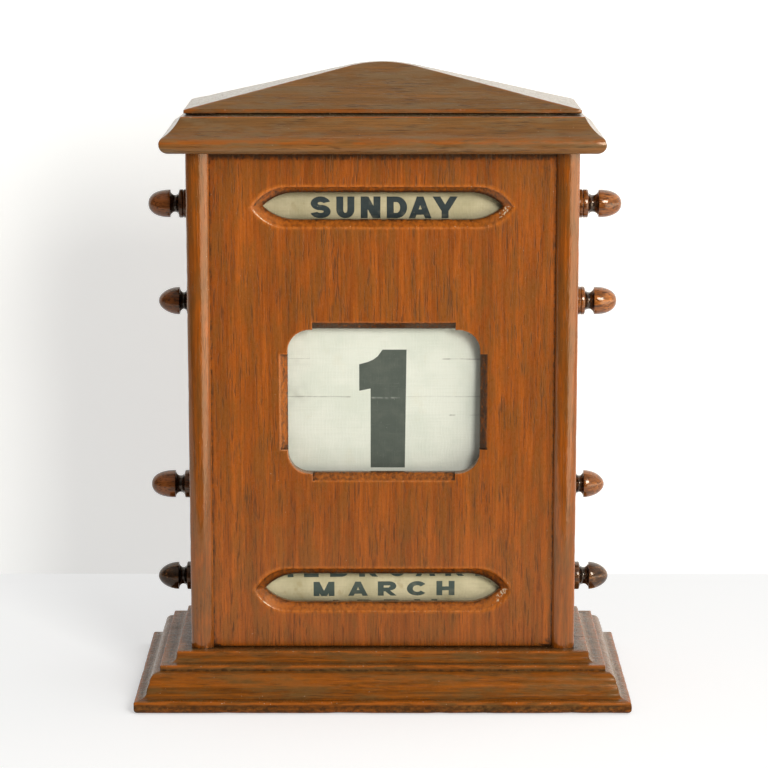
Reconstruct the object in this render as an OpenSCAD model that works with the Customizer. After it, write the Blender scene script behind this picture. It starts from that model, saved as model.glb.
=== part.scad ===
// Perpetual desk calendar in a roofed wooden case.
// A weekday drum, a linen scroll of day numbers and a month drum turn on four
// turned spindles behind a front panel with three windows.
// Millimetres. Origin in the middle of the underside, front towards -Y, +Z up.

/* [Case] */
// Width of the case over its side boards
case_w = 168; // [150:0.5:200]
// Depth of the case, front edge of the sides to the back
case_d = 66.9; // [58:0.1:80]
// Thickness of the side boards
side_t = 9.8; // [8:0.1:12]
// Radius of the rounded front edge of the side boards
nose_r = 6.5; // [6.1:0.1:9]
// How far the front panel lies behind the side boards' front edge
panel_setback = 3.2; // [2.6:0.1:4.5]
// Thickness of the front panel
panel_t = 6; // [5:0.1:7]
// Depth of the grooves in the side boards that hold the front panel
groove_depth = 3; // [2:0.1:4]
// Thickness of the back board
back_t = 5; // [4:0.1:6]
// Width of the ledge in the side boards behind which the back board sits
ledge_w = 5; // [4.4:0.1:6]
// Play round the panel and the back board in their seats
board_play = 0.2; // [0.1:0.05:0.3]

/* [Base] */
// Height of the base board
base_h = 23; // [21:0.1:27]
// Width of the flat top of the base
base_top_w = 180.2; // [176:0.1:190]
// Depth of the flat top of the base
base_top_d = 76.3; // [72:0.1:86]
// Height of the step between the upper cove and the lower mouldings
base_step_z = 18.6; // [18:0.1:19]
// Height of the step's upright face
base_step_face = 2.2; // [1.8:0.1:2.6]
// Radius of the upper cove
upper_cove_r = 2.5; // [2:0.1:3]
// How far the step stands out from the flat top
base_step_out = 6.9; // [6:0.1:8]
// Radius of the quarter round under the step
ovolo_r = 4.1; // [3.6:0.1:4.5]
// Run of the slope between the quarter round and the lower cove
base_slope = 1.2; // [0.8:0.1:1.6]
// Radius of the lower cove
lower_cove_r = 2.7; // [2.3:0.1:2.9]
// Thickness of the toe that the base stands on
toe_h = 5.6; // [5:0.1:6]
// How far the toe stands out from the flat top
toe_out = 17.7; // [17:0.1:20]
// Radius of the toe's upper edge
toe_top_r = 0.9; // [0.5:0.1:1.2]
// Radius of the toe's lower edge
toe_foot_r = 1.9; // [1:0.1:2.2]
// Softening of the base's sharp edges
base_edge = 0.5; // [0.3:0.1:0.8]

/* [Cornice and roof] */
// Thickness of the cornice board
cornice_h = 15.3; // [14:0.1:18]
// Overhang of the cornice's top edge past the case
cornice_top_out = 1.75; // [1.2:0.05:3]
// Overhang of the cornice at its rounded nose
cornice_out = 10.4; // [9.5:0.1:13]
// Radius of the cornice's nose underneath
cornice_nose_r = 4.2; // [3.5:0.1:5]
// Height of the nose above its widest line
cornice_nose_rise = 2.6; // [2:0.1:3]
// How far the nose draws in above its widest line
cornice_nose_in = 1.1; // [0.8:0.1:1.5]
// Swell of the nose above its widest line, measured from its chord
cornice_nose_swell = 0.35; // [0.2:0.05:0.5]
// Hollow of the cornice's cove, measured from its chord
cornice_hollow = 0.8; // [0.4:0.1:1.2]
// Softening of the cornice's top edge
cornice_edge = 0.3; // [0.2:0.1:0.6]
// Width of the roof block at its eaves
eave_w = 169.8; // [150:0.1:171]
// Depth of the roof block at its eaves
eave_d = 52.4; // [44:0.1:64]
// Thickness of the roof block's upright edge
eave_t = 1.3; // [1:0.1:3]
// Height of the shadow line under the eaves
eave_gap = 0.8; // [0.5:0.1:1.5]
// Rise of the roof from its eaves to the point where its slopes would meet
roof_rise = 20.4; // [16:0.1:26]
// Half length of the rounded top, along the roof
apex_round = 15; // [8:0.5:20]
// Half length of the rounded top, across the roof
ridge_round = 2.5; // [1.5:0.1:4]
// How far the roof's seat stands in from its eaves
eave_inset = 1; // [0.6:0.1:2]

/* [Windows] */
// Height of the weekday window at the front of the panel
day_window_h = 17.8; // [14:0.1:20]
// Height of the month window at the front of the panel
month_window_h = 19.6; // [14:0.1:21]
// Length of the weekday and month windows, tip to tip, at the front of the panel
slot_l = 112.6; // [90:0.1:116]
// Length of the curve at each end of those windows
slot_run = 15; // [12:0.1:18]
// Width of the bevel round the weekday window
day_bevel = 3.1; // [2.4:0.1:3.6]
// Width of the bevel round the month window
month_bevel = 3.4; // [2.4:0.1:3.8]
// Width of both bevels, measured at the tips
slot_tip_bevel = 4.8; // [4.2:0.1:5.4]
// Height of the weekday window's middle above its spindle
day_window_rise = 1.4; // [0:0.1:2]
// Height of the month window's middle above its spindle
month_window_rise = -0.5; // [-1:0.1:1]
// Width of the day-number window
date_window_w = 83.2; // [70:0.1:90]
// Height of the day-number window
date_window_h = 63.4; // [55:0.1:63.5]
// Corner radius of the day-number window
date_window_r = 9.5; // [6:0.1:12]
// Sideways offset of the day-number window from the middle
date_window_x = 0.5; // [-1:0.1:1]
// Height of the day-number window's middle above the middle of the scroll spindles
date_window_rise = 0.3; // [-1:0.1:1.5]
// Width of the stopped chamfers round the day-number window
chamfer_w = 3.3; // [2.5:0.1:4]
// Distance from the window's corner curves to the ends of its chamfers
chamfer_stop = 1.2; // [0:0.1:4]

/* [Spindles] */
// Height of the month spindle above the base
month_axis_rise = 26.2; // [24:0.1:29]
// Distance from the month spindle to the lower scroll spindle
month_spacing = 41.9; // [38:0.1:46]
// Distance from the lower scroll spindle to the upper one
scroll_spacing = 82.2; // [80:0.1:90]
// Distance from the upper scroll spindle to the weekday spindle
day_spacing = 42.8; // [38:0.1:46]
// Depth of the weekday spindle below the cornice
day_axis_drop = 25.1; // [23:0.1:28]
// Radius of the weekday and month drums over their labels
drum_r = 16; // [14:0.1:17]
// Gap between those drums and the back of the front panel
drum_gap = 1.3; // [1:0.1:2]
// Length of every roller between its shoulders
roller_l = 132; // [124:0.5:136]
// Radius of the roller ends between drum and side board
shoulder_r = 7; // [5.5:0.1:8]
// Radius of the knob shanks that turn in the side boards
shank_r = 4; // [3:0.1:4.5]
// Running clearance of the shanks in the side boards
run_clear = 0.06; // [0.03:0.01:0.1]
// Glue clearance of the shanks in the roller ends
glue_clear = 0.03; // [0.02:0.01:0.05]
// Length of shank glued into a roller
tenon_l = 11; // [8:0.5:14]
// End play of a spindle at each side board
end_play = 0.35; // [0.25:0.05:0.5]

/* [Labels and scroll] */
// Thickness of the cloth labels on the drums
label_t = 0.25; // [0.2:0.05:0.4]
// Width of the labels on the drums
label_w = 128; // [118:0.5:130]
// Radius of the bare rollers that hold the scroll
core_r = 11; // [9:0.1:11.3]
// Thickness of the scroll's linen
linen_t = 0.2; // [0.16:0.02:0.22]
// Width of the scroll
linen_w = 104; // [96:0.5:120]
// Distance from one day number to the next along the scroll
number_pitch = 64; // [63:0.5:66]
// Plain linen at the ends of the scroll, in all
leader_l = 16; // [10:1:60]
// Turns of linen on the emptier roller when the first number shows
start_turns = 1.5; // [1:0.5:3]

/* [Knobs] */
// Radius of a knob's cap
cap_r = 6.1; // [5.5:0.1:7]
// Radius of a knob's neck
neck_r = 3.7; // [3.3:0.1:4.5]
// Radius of a knob's collar
collar_r = 6.2; // [5.5:0.1:7]
// Collar, neck and cap lengths of the left weekday knob
day_left = [4.1, 3.8, 9.7]; // [2:0.1:12]
// Collar, neck and cap lengths of the right weekday knob
day_right = [4.8, 4.6, 10.1]; // [2:0.1:12]
// Collar, neck and cap lengths of the upper left scroll knob
upper_left = [1.2, 3.2, 9.3]; // [1:0.1:12]
// Collar, neck and cap lengths of the upper right scroll knob
upper_right = [3.9, 4.1, 10]; // [2:0.1:12]
// Collar, neck and cap lengths of the lower left scroll knob
lower_left = [3.1, 4.2, 10.7]; // [2:0.1:12]
// Collar, neck and cap lengths of the lower right scroll knob
lower_right = [1.1, 3.4, 9.2]; // [1:0.1:12]
// Collar, neck and cap lengths of the left month knob
month_left = [2.7, 3.7, 9.2]; // [2:0.1:12]
// Collar, neck and cap lengths of the right month knob
month_right = [3.1, 4.2, 8.7]; // [2:0.1:12]
// Fullness of the weekday and scroll caps, where 2 is an ellipse
cap_fullness = 2.3; // [2:0.1:2.8]
// Fullness of the month caps
month_fullness = 1.9; // [1.7:0.1:2.5]

/* [Screws] */
// Radius of the screws through the base and the cornice
frame_screw_r = 1.9; // [1.5:0.1:2.2]
// Length of those screws
frame_screw_l = 38; // [34:0.5:44]
// Distance of those screws from the case's front and back
frame_screw_inset = 12.8; // [11.8:0.1:16]
// Radius of the screws that hold the back board
back_screw_r = 1.2; // [0.9:0.1:1.4]
// Length of those screws
back_screw_l = 14; // [11:0.5:18]
// Distance of the outer back screws past the points of the frame screws
back_screw_past = 12; // [6:0.5:20]

/* [Hidden] */

$fn = 64;
OAK = [0.59, 0.33, 0.17];
OAK_DARK = [0.47, 0.29, 0.16];
KNOB = [0.45, 0.25, 0.12];
PALE_WOOD = [0.78, 0.66, 0.48];
LABEL = [0.78, 0.74, 0.58];
LINEN = [0.9, 0.9, 0.84];
BRASS = [0.72, 0.58, 0.3];
STEEL = [0.5, 0.5, 0.5];

cut = 1;                         // how far a cutter runs past the face that it opens
case_z = base_h;
case_h = month_axis_rise + month_spacing + scroll_spacing + day_spacing + day_axis_drop;
cornice_z = case_z + case_h;
roof_z = cornice_z + cornice_h;
inner_w = case_w - 2 * side_t;
panel_y = -case_d / 2 + panel_setback;
panel_back_y = panel_y + panel_t;
panel_half_w = inner_w / 2 + groove_depth - board_play;
back_y = case_d / 2 - back_t;
back_half_w = inner_w / 2 + ledge_w - board_play;

axis_y = panel_back_y + drum_gap + drum_r;
month_z = case_z + month_axis_rise;
lower_z = month_z + month_spacing;
upper_z = lower_z + scroll_spacing;
day_z = upper_z + day_spacing;
date_mid_z = (upper_z + lower_z) / 2 + date_window_rise;
spindle_z = [day_z, upper_z, lower_z, month_z];

label_core_r = drum_r - label_t;
roller_end = inner_w / 2 - end_play;
socket_l = tenon_l + 1;
day_count = 31;
scroll_l = day_count * number_pitch + leader_l;
full_r = sqrt(core_r * core_r + scroll_l * linen_t / PI);
empty_r = core_r + start_turns * linen_t;
roll_gap = 0.2;                  // air between the stretched linen and each roll

screw_clear = 0.05;
frame_head_r = 2 * frame_screw_r;
frame_head_h = frame_screw_r;
frame_sink = 1;                  // depth of the base screws' heads below the surface
screw_point_r = 0.3;
back_head_r = 2 * back_screw_r;
back_head_h = back_screw_r;
back_screw_x = inner_w / 2 + ledge_w / 2;
frame_screw_x = case_w / 2 - side_t / 2;
frame_screw_y = case_d / 2 - frame_screw_inset;

// Points of an arc from p to q that bows out by s to the left of the line p to q.
function bow(p, q, s, n = 10) =
    let (chord = norm(q - p), half = chord / 2, r = (half * half + s * s) / (2 * abs(s)),
        dir = (q - p) / chord, left = [-dir[1], dir[0]] * sign(s),
        mid = (p + q) / 2 - left * (r - abs(s)), reach = asin(min(1, half / r)))
    [for (i = [0:n]) let (a = -reach + 2 * reach * i / n)
        mid + r * (dir * sin(a) + left * cos(a))];

// A quarter circle about c, from angle a to angle a + turn.
function quarter(c, r, a, turn, n = 10) =
    [for (i = [0:n]) c + r * [cos(a + turn * i / n), sin(a + turn * i / n)]];

// A closed outline from its right half, given from the bottom to the top.
function mirrored(half) =
    concat(half, [for (i = [len(half) - 1:-1:0]) [-half[i][0], half[i][1]]]);

function shifted(pts, d) = [for (p = pts) p + [d, 0]];

// Right half of the base's outline, measured out from the flat top's edge.
function base_outline() =
    let (lip = base_edge / 2, ovolo_x = base_step_out + lip,
        ovolo_top = base_step_z - base_step_face - lip,
        cove_x = ovolo_x + ovolo_r + base_slope + lower_cove_r)
    concat(
        quarter([toe_out - toe_foot_r, toe_foot_r], toe_foot_r, -90, 90),
        quarter([toe_out - toe_top_r, toe_h - lip - toe_top_r], toe_top_r, 0, 90),
        quarter([cove_x, toe_h + lower_cove_r], lower_cove_r, 270, -90),
        quarter([ovolo_x, ovolo_top - ovolo_r], ovolo_r, 0, 90),
        [[base_step_out, ovolo_top + lip], [base_step_out, base_step_z - base_edge],
            [base_step_out - base_edge, base_step_z]],
        quarter([upper_cove_r, base_step_z + upper_cove_r], upper_cove_r, 270, -90),
        [[0, base_h - base_edge], [-base_edge, base_h]]);

// Right half of the cornice's outline, measured out from the case.
function cornice_outline() =
    let (nose = [cornice_out, cornice_nose_r],
        cove_foot = nose + [-cornice_nose_in, cornice_nose_rise],
        cove_top = [cornice_top_out, cornice_h - cornice_edge])
    concat(
        quarter(nose - [cornice_nose_r, 0], cornice_nose_r, -90, 90),
        bow(nose, cove_foot, -cornice_nose_swell, 6),
        bow(cove_foot, cove_top, cornice_hollow, 12),
        [[cornice_top_out - cornice_edge, cornice_h]]);

// A block whose outline runs round all four sides, mitred at its corners.
module moulded_block(half_w, half_d, outline, h) {
    intersection() {
        rotate([90, 0, 0])
            linear_extrude(2 * half_d + 4 * h, center = true)
                polygon(mirrored(shifted(outline, half_w)));
        rotate([90, 0, 90])
            linear_extrude(2 * half_w + 4 * h, center = true)
                polygon(mirrored(shifted(outline, half_d)));
    }
}

// A countersunk wood screw, its head's face at z = 0 and its point below.
module screw(r, l, head_r, head_h, grow = 0) {
    rotate_extrude()
        polygon([[0, grow], [head_r + grow, grow], [head_r + grow, 0], [r + grow, -head_h],
            [r + grow, -l + 2 * r], [screw_point_r, -l - grow], [0, -l - grow]]);
}

module slotted_screw(r, l, head_r, head_h) {
    difference() {
        screw(r, l, head_r, head_h);
        cube([3 * head_r, 0.35 * r, 0.6 * head_h], center = true);
    }
}

// The four screws of the base or the cornice stand over the side boards.
function frame_screw_at(i) =
    [(i < 3 ? -1 : 1) * frame_screw_x, (i % 2 == 0 ? 1 : -1) * frame_screw_y];

module at_frame_screw(i) translate(concat(frame_screw_at(i), 0)) children();

module base_screw_space(i, grow = 0) {
    at_frame_screw(i) translate([0, 0, frame_sink]) mirror([0, 0, 1])
        screw(frame_screw_r, frame_screw_l, frame_head_r, frame_head_h, grow);
}

module cornice_screw_space(i, grow = 0) {
    at_frame_screw(i) translate([0, 0, roof_z - screw_clear])
        screw(frame_screw_r, frame_screw_l, frame_head_r, frame_head_h, grow);
}

function back_screw_at(i) =
    let (row = (i - 1) % 3, low = frame_sink + frame_screw_l + back_screw_past,
        high = roof_z - frame_screw_l - back_screw_past)
    [(i < 4 ? -1 : 1) * back_screw_x, case_d / 2 - screw_clear, low + row * (high - low) / 2];

module at_back_screw(i) translate(back_screw_at(i)) rotate([-90, 0, 0]) children();

module back_screw_space(i) {
    at_back_screw(i) screw(back_screw_r, back_screw_l, back_head_r, back_head_h, screw_clear);
}

module base_board() color(OAK_DARK) {
    difference() {
        moulded_block(base_top_w / 2, base_top_d / 2, base_outline(), base_h);
        for (i = [1:4]) {
            base_screw_space(i, screw_clear);
            at_frame_screw(i) translate([0, 0, -cut])
                cylinder(r = frame_head_r + screw_clear, h = frame_sink + cut);
        }
    }
}

// Plan of a side board at the right, with the rounded front edge, the groove for
// the front panel and the ledge for the back board.
module side_plan() {
    crown = nose_r - sqrt(nose_r * nose_r - side_t * side_t / 4);
    difference() {
        union() {
            translate([inner_w / 2, -case_d / 2 + crown]) square([side_t, case_d - crown]);
            intersection() {
                translate([case_w / 2 - side_t / 2, -case_d / 2 + nose_r]) circle(nose_r);
                translate([inner_w / 2, -case_d / 2]) square([side_t, crown + 0.01]);
            }
        }
        translate([inner_w / 2 - cut, panel_y - board_play / 2])
            square([groove_depth + cut, panel_t + board_play]);
        translate([inner_w / 2 - cut, back_y]) square([ledge_w + cut, back_t + cut]);
    }
}

module side_board(right) {
    sx = right ? 1 : -1;
    screws = right ? [3, 4] : [1, 2];
    back_screws = right ? [4, 5, 6] : [1, 2, 3];
    difference() {
        mirror([right ? 0 : 1, 0, 0])
            translate([0, 0, case_z]) linear_extrude(case_h) side_plan();
        for (z = spindle_z)
            translate([sx * (case_w - side_t) / 2, axis_y, z]) rotate([0, 90, 0])
                cylinder(r = shank_r + run_clear, h = side_t + 2 * cut, center = true);
        for (i = screws) {
            base_screw_space(i, screw_clear);
            cornice_screw_space(i, screw_clear);
        }
        for (i = back_screws) back_screw_space(i);
    }
}

module left_side() color(OAK) side_board(false);
module right_side() color(OAK) side_board(true);

// Outline of a weekday or month window: straight, with a curved point at each end.
function slot_end(half_l, half_h, run) =
    let (r = (run * run + half_h * half_h) / (2 * half_h), reach = atan2(run, r - half_h))
    [for (i = [0:12]) let (a = reach * (1 - i / 12))
        [half_l - run + r * sin(a), half_h - r + r * cos(a)]];

function slot_outline(half_l, half_h, run) =
    let (upper = mirrored(slot_end(half_l, half_h, run)))
    concat(upper, [for (i = [len(upper) - 2:-1:1]) [upper[i][0], -upper[i][1]]]);

module slot_window(z, h, bevel) {
    outer = slot_outline(slot_l / 2, h / 2, slot_run);
    inner = slot_outline(slot_l / 2 - slot_tip_bevel, h / 2 - bevel,
        slot_run - (slot_tip_bevel - bevel) / 2);
    skin = 0.01;
    translate([0, panel_y, z]) rotate([90, 0, 0]) {
        translate([0, 0, -panel_t - cut]) linear_extrude(panel_t + cut) polygon(inner);
        hull() {
            linear_extrude(skin) polygon(outer);
            translate([0, 0, -bevel]) linear_extrude(skin) polygon(inner);
        }
    }
}

module rounded_rectangle(w, h, r) {
    square([w - 2 * r, h], center = true);
    square([w, h - 2 * r], center = true);
    for (x = [-1, 1], y = [-1, 1]) translate([x * (w / 2 - r), y * (h / 2 - r)]) circle(r);
}

// A stopped chamfer on one side of the window, at distance reach from its middle.
module stopped_chamfer(angle, reach, l) {
    rotate([0, angle, 0]) translate([-l / 2, 0, reach]) rotate([90, 0, 90])
        linear_extrude(l)
            polygon([[-cut, -cut], [-cut, chamfer_w + cut], [chamfer_w + cut, -cut]]);
}

module date_window() {
    across = date_window_w - 2 * (date_window_r + chamfer_stop);
    upright = date_window_h - 2 * (date_window_r + chamfer_stop);
    translate([date_window_x, panel_y, date_mid_z]) {
        rotate([90, 0, 0]) linear_extrude(2 * (panel_t + cut), center = true)
            rounded_rectangle(date_window_w, date_window_h, date_window_r);
        for (a = [0, 180]) stopped_chamfer(a, date_window_h / 2, across);
        for (a = [90, 270]) stopped_chamfer(a, date_window_w / 2, upright);
    }
}

module front_panel() color(OAK) {
    difference() {
        translate([-panel_half_w, panel_y, case_z + board_play])
            cube([2 * panel_half_w, panel_t, case_h - board_play]);
        slot_window(day_z + day_window_rise, day_window_h, day_bevel);
        slot_window(month_z + month_window_rise, month_window_h, month_bevel);
        date_window();
    }
}

module back_panel() color(OAK_DARK) {
    difference() {
        translate([-back_half_w, back_y, case_z + board_play])
            cube([2 * back_half_w, back_t, case_h - 2 * board_play]);
        for (i = [1:6]) back_screw_space(i);
    }
}

module cornice_board() color(OAK_DARK) {
    difference() {
        translate([0, 0, cornice_z])
            moulded_block(case_w / 2, case_d / 2, cornice_outline(), cornice_h);
        for (i = [1:4]) cornice_screw_space(i, screw_clear);
    }
}

// Outline of the roof seen along one of its slopes, rounded at the top.
function roof_outline(half, round_half) =
    let (eave = eave_gap + eave_t, slope = roof_rise / half,
        foot = [round_half, eave + roof_rise - round_half * slope],
        rise = round_half * slope / 2)
    mirrored(concat([[half, eave_gap], [half, eave]],
        [for (i = [0:6]) let (t = i / 6)
            [foot[0] * (1 - t), foot[1] + rise * (1 - (1 - t) * (1 - t))]]));

module roof_block() color(OAK_DARK) {
    translate([0, 0, roof_z]) {
        intersection() {
            rotate([90, 0, 0]) linear_extrude(eave_d, center = true)
                polygon(roof_outline(eave_w / 2, apex_round));
            rotate([90, 0, 90]) linear_extrude(eave_w, center = true)
                polygon(roof_outline(eave_d / 2, ridge_round));
        }
        translate([-eave_w / 2 + eave_inset, -eave_d / 2 + eave_inset, 0])
            cube([eave_w - 2 * eave_inset, eave_d - 2 * eave_inset, eave_gap + eave_t / 2]);
    }
}

module base_screw(i) color(STEEL) {
    at_frame_screw(i) translate([0, 0, frame_sink]) mirror([0, 0, 1])
        slotted_screw(frame_screw_r, frame_screw_l, frame_head_r, frame_head_h);
}

module cornice_screw(i) color(STEEL) {
    at_frame_screw(i) translate([0, 0, roof_z - screw_clear])
        slotted_screw(frame_screw_r, frame_screw_l, frame_head_r, frame_head_h);
}

module back_screw(i) color(BRASS) {
    at_back_screw(i) slotted_screw(back_screw_r, back_screw_l, back_head_r, back_head_h);
}

module on_spindle(z) translate([0, axis_y, z]) rotate([0, 90, 0]) children();

// A roller with shoulders at both ends and a socket in each for a knob's shank.
module roller(z, r) {
    socket_r = shank_r + glue_clear;
    half = [[0, roller_end - socket_l], [socket_r, roller_end - socket_l],
        [socket_r, roller_end], [shoulder_r, roller_end],
        [shoulder_r, roller_l / 2], [r, roller_l / 2]];
    on_spindle(z) rotate_extrude()
        polygon(concat(half, [for (i = [len(half) - 1:-1:0]) [half[i][0], -half[i][1]]]));
}

module tube(z, inner, outer, w) {
    on_spindle(z) rotate_extrude()
        translate([inner, -w / 2]) square([outer - inner, w]);
}

// A turned knob: shank, collar, hollowed neck and full cap.
module knob(z, lengths, fullness, right) {
    rim = 0.3;
    start = case_w / 2 + end_play;
    neck_x = start + lengths[0];
    cap_x = neck_x + lengths[1];
    neck = [for (a = [0:15:180])
        let (edge = a < 90 ? collar_r - rim : cap_r, dip = sin(a))
        [edge + (neck_r - edge) * dip, neck_x + lengths[1] * (1 - cos(a)) / 2]];
    cap = [for (a = [0:7.5:90])
        let (u = sin(a)) [cap_r * pow(1 - pow(u, fullness), 1 / fullness),
            cap_x + lengths[2] * u]];
    on_spindle(z) mirror([0, 0, right ? 0 : 1]) rotate_extrude()
        polygon(concat(
            [[0, roller_end - tenon_l], [shank_r, roller_end - tenon_l], [shank_r, start],
                [collar_r, start], [collar_r, neck_x - rim]], neck, cap));
}

module day_roller() color(PALE_WOOD) roller(day_z, label_core_r);
module day_label() color(LABEL) tube(day_z, label_core_r, drum_r, label_w);
module day_knob_left() color(KNOB) knob(day_z, day_left, cap_fullness, false);
module day_knob_right() color(KNOB) knob(day_z, day_right, cap_fullness, true);

module date_upper_roller() color(PALE_WOOD) roller(upper_z, core_r);
module date_upper_roll() color(LINEN) tube(upper_z, core_r, full_r, linen_w);
module date_upper_knob_left() color(KNOB) knob(upper_z, upper_left, cap_fullness, false);
module date_upper_knob_right() color(KNOB) knob(upper_z, upper_right, cap_fullness, true);

module date_lower_roller() color(PALE_WOOD) roller(lower_z, core_r);
module date_lower_roll() color(LINEN) tube(lower_z, core_r, empty_r, linen_w);
module date_lower_knob_left() color(KNOB) knob(lower_z, lower_left, cap_fullness, false);
module date_lower_knob_right() color(KNOB) knob(lower_z, lower_right, cap_fullness, true);

// The stretched linen leaves the fuller upper roll and meets the lower one along
// their common tangent at the front.
module date_linen() color(LINEN) {
    lean = asin((full_r - empty_r) / scroll_spacing);
    translate([0, axis_y, lower_z]) rotate([lean, 0, 0])
        translate([-linen_w / 2, -empty_r - roll_gap - linen_t, 0])
            cube([linen_w, linen_t, scroll_spacing * cos(lean)]);
}

module month_roller() color(PALE_WOOD) roller(month_z, label_core_r);
module month_label() color(LABEL) tube(month_z, label_core_r, drum_r, label_w);
module month_knob_left() color(KNOB) knob(month_z, month_left, month_fullness, false);
module month_knob_right() color(KNOB) knob(month_z, month_right, month_fullness, true);

base_board();
left_side();
right_side();
front_panel();
back_panel();
cornice_board();
roof_block();
base_screw(1);  // base_screw_1
base_screw(2);  // base_screw_2
base_screw(3);  // base_screw_3
base_screw(4);  // base_screw_4
cornice_screw(1);  // cornice_screw_1
cornice_screw(2);  // cornice_screw_2
cornice_screw(3);  // cornice_screw_3
cornice_screw(4);  // cornice_screw_4
back_screw(1);  // back_screw_1
back_screw(2);  // back_screw_2
back_screw(3);  // back_screw_3
back_screw(4);  // back_screw_4
back_screw(5);  // back_screw_5
back_screw(6);  // back_screw_6
day_roller();
day_label();
day_knob_left();
day_knob_right();
date_upper_roller();
date_upper_roll();
date_upper_knob_left();
date_upper_knob_right();
date_lower_roller();
date_lower_roll();
date_lower_knob_left();
date_lower_knob_right();
date_linen();
month_roller();
month_label();
month_knob_left();
month_knob_right();
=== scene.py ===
"""Looks of a perpetual desk calendar, built around its packed frame.

The pieces are made in millimetres in the frame's own coordinates: the middle of the
underside is the origin, the front faces -Y and +Z is up.
"""

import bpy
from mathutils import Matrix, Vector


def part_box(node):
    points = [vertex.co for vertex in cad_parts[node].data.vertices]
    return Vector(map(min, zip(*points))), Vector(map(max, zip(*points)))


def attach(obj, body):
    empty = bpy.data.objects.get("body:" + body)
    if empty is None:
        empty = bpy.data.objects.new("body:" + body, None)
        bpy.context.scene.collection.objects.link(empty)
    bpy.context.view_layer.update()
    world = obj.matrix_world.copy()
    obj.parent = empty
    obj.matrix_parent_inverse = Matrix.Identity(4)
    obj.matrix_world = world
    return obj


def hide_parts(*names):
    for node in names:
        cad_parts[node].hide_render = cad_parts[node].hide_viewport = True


bl_info = {
    "name": "Perpetual desk calendar",
    "version": (1, 0, 0),
    "blender": (4, 5, 0),
    "location": "3D View > Sidebar > Calendar",
    "description": "Dresses a roofed wooden desk calendar with turned knobs and printed linen",
    "category": "Add Mesh",
}

import math

import bmesh
import bpy
import numpy as np
from bpy.props import FloatProperty, FloatVectorProperty, PointerProperty
from mathutils import Vector, geometry, noise

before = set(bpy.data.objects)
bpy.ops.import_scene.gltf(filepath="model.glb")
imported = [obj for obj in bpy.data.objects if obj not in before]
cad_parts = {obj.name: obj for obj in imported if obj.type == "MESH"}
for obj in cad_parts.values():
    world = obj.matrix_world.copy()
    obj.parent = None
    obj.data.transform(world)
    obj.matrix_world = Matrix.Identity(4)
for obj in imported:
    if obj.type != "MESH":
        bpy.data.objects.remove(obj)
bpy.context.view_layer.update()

MM = 0.001


def node_box(name):
    """Lowest and highest corner of a frame node, in millimetres."""
    return [tuple(c / MM for c in corner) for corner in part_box(name)]


def axis_of(roller):
    """Height and depth of a spindle, from the roller that turns on it."""
    low, high = node_box(roller)
    return (low[1] + high[1]) / 2, (low[2] + high[2]) / 2


SIDE_LOW, SIDE_HIGH = node_box("right_side")
PANEL_LOW, PANEL_HIGH = node_box("front_panel")
BASE_LOW, BASE_HIGH = node_box("base_board")
CORNICE_LOW, CORNICE_HIGH = node_box("cornice_board")
ROOF_LOW, ROOF_HIGH = node_box("roof_block")
BACK_LOW, BACK_HIGH = node_box("back_panel")

SPINDLES = ["day", "date_upper", "date_lower", "month"]
AXES = {name: axis_of(name + "_roller") for name in SPINDLES}


def middle_of(name):
    """Middle of a frame node's box."""
    low, high = node_box(name)
    return mixed(low, high, 0.5)


# --- sums and curves ---------------------------------------------------------------


def srgb(red, green, blue):
    """A colour as the eye reads it, 0 to 255, as the linear one that nodes use."""

    def linear(c):
        c /= 255
        return c / 12.92 if c <= 0.04045 else ((c + 0.055) / 1.055) ** 2.4

    return linear(red), linear(green), linear(blue)


def mixed(a, b, t):
    """The share `t` of the way from one point or colour to another."""
    return tuple(p + (q - p) * t for p, q in zip(a, b))


def darker(colour, share):
    return mixed(colour, (0.0, 0.0, 0.0), share)


def arc(cx, cy, rx, ry, start, end, steps):
    """Points of an ellipse's arc, both ends included; angles in degrees."""
    turns = [math.radians(start + (end - start) * i / steps) for i in range(steps + 1)]
    return [(cx + rx * math.cos(a), cy + ry * math.sin(a)) for a in turns]


def circle(cx, cy, r, sides):
    """The corners of a closed circle."""
    return arc(cx, cy, r, r, 0, 360, sides)[:-1]


def ripple(x, y, z, scale, seed=0.0):
    """Smooth noise from -1 to 1 that changes over about `scale` millimetres."""
    return noise.noise(Vector((x / scale + seed, y / scale - seed, z / scale + 7.3)))


def inside(loop, x, y):
    """Which of the points (x, y) lie inside a closed loop."""
    found = np.zeros(len(x), bool)
    for (x0, y0), (x1, y1) in zip(loop, loop[1:] + loop[:1]):
        crosses = (y0 > y) != (y1 > y)
        at = x0 + (y - y0) * (x1 - x0) / ((y1 - y0) or 1e-12)
        found ^= crosses & (x < at)
    return found


# --- building pieces ---------------------------------------------------------------


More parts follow.
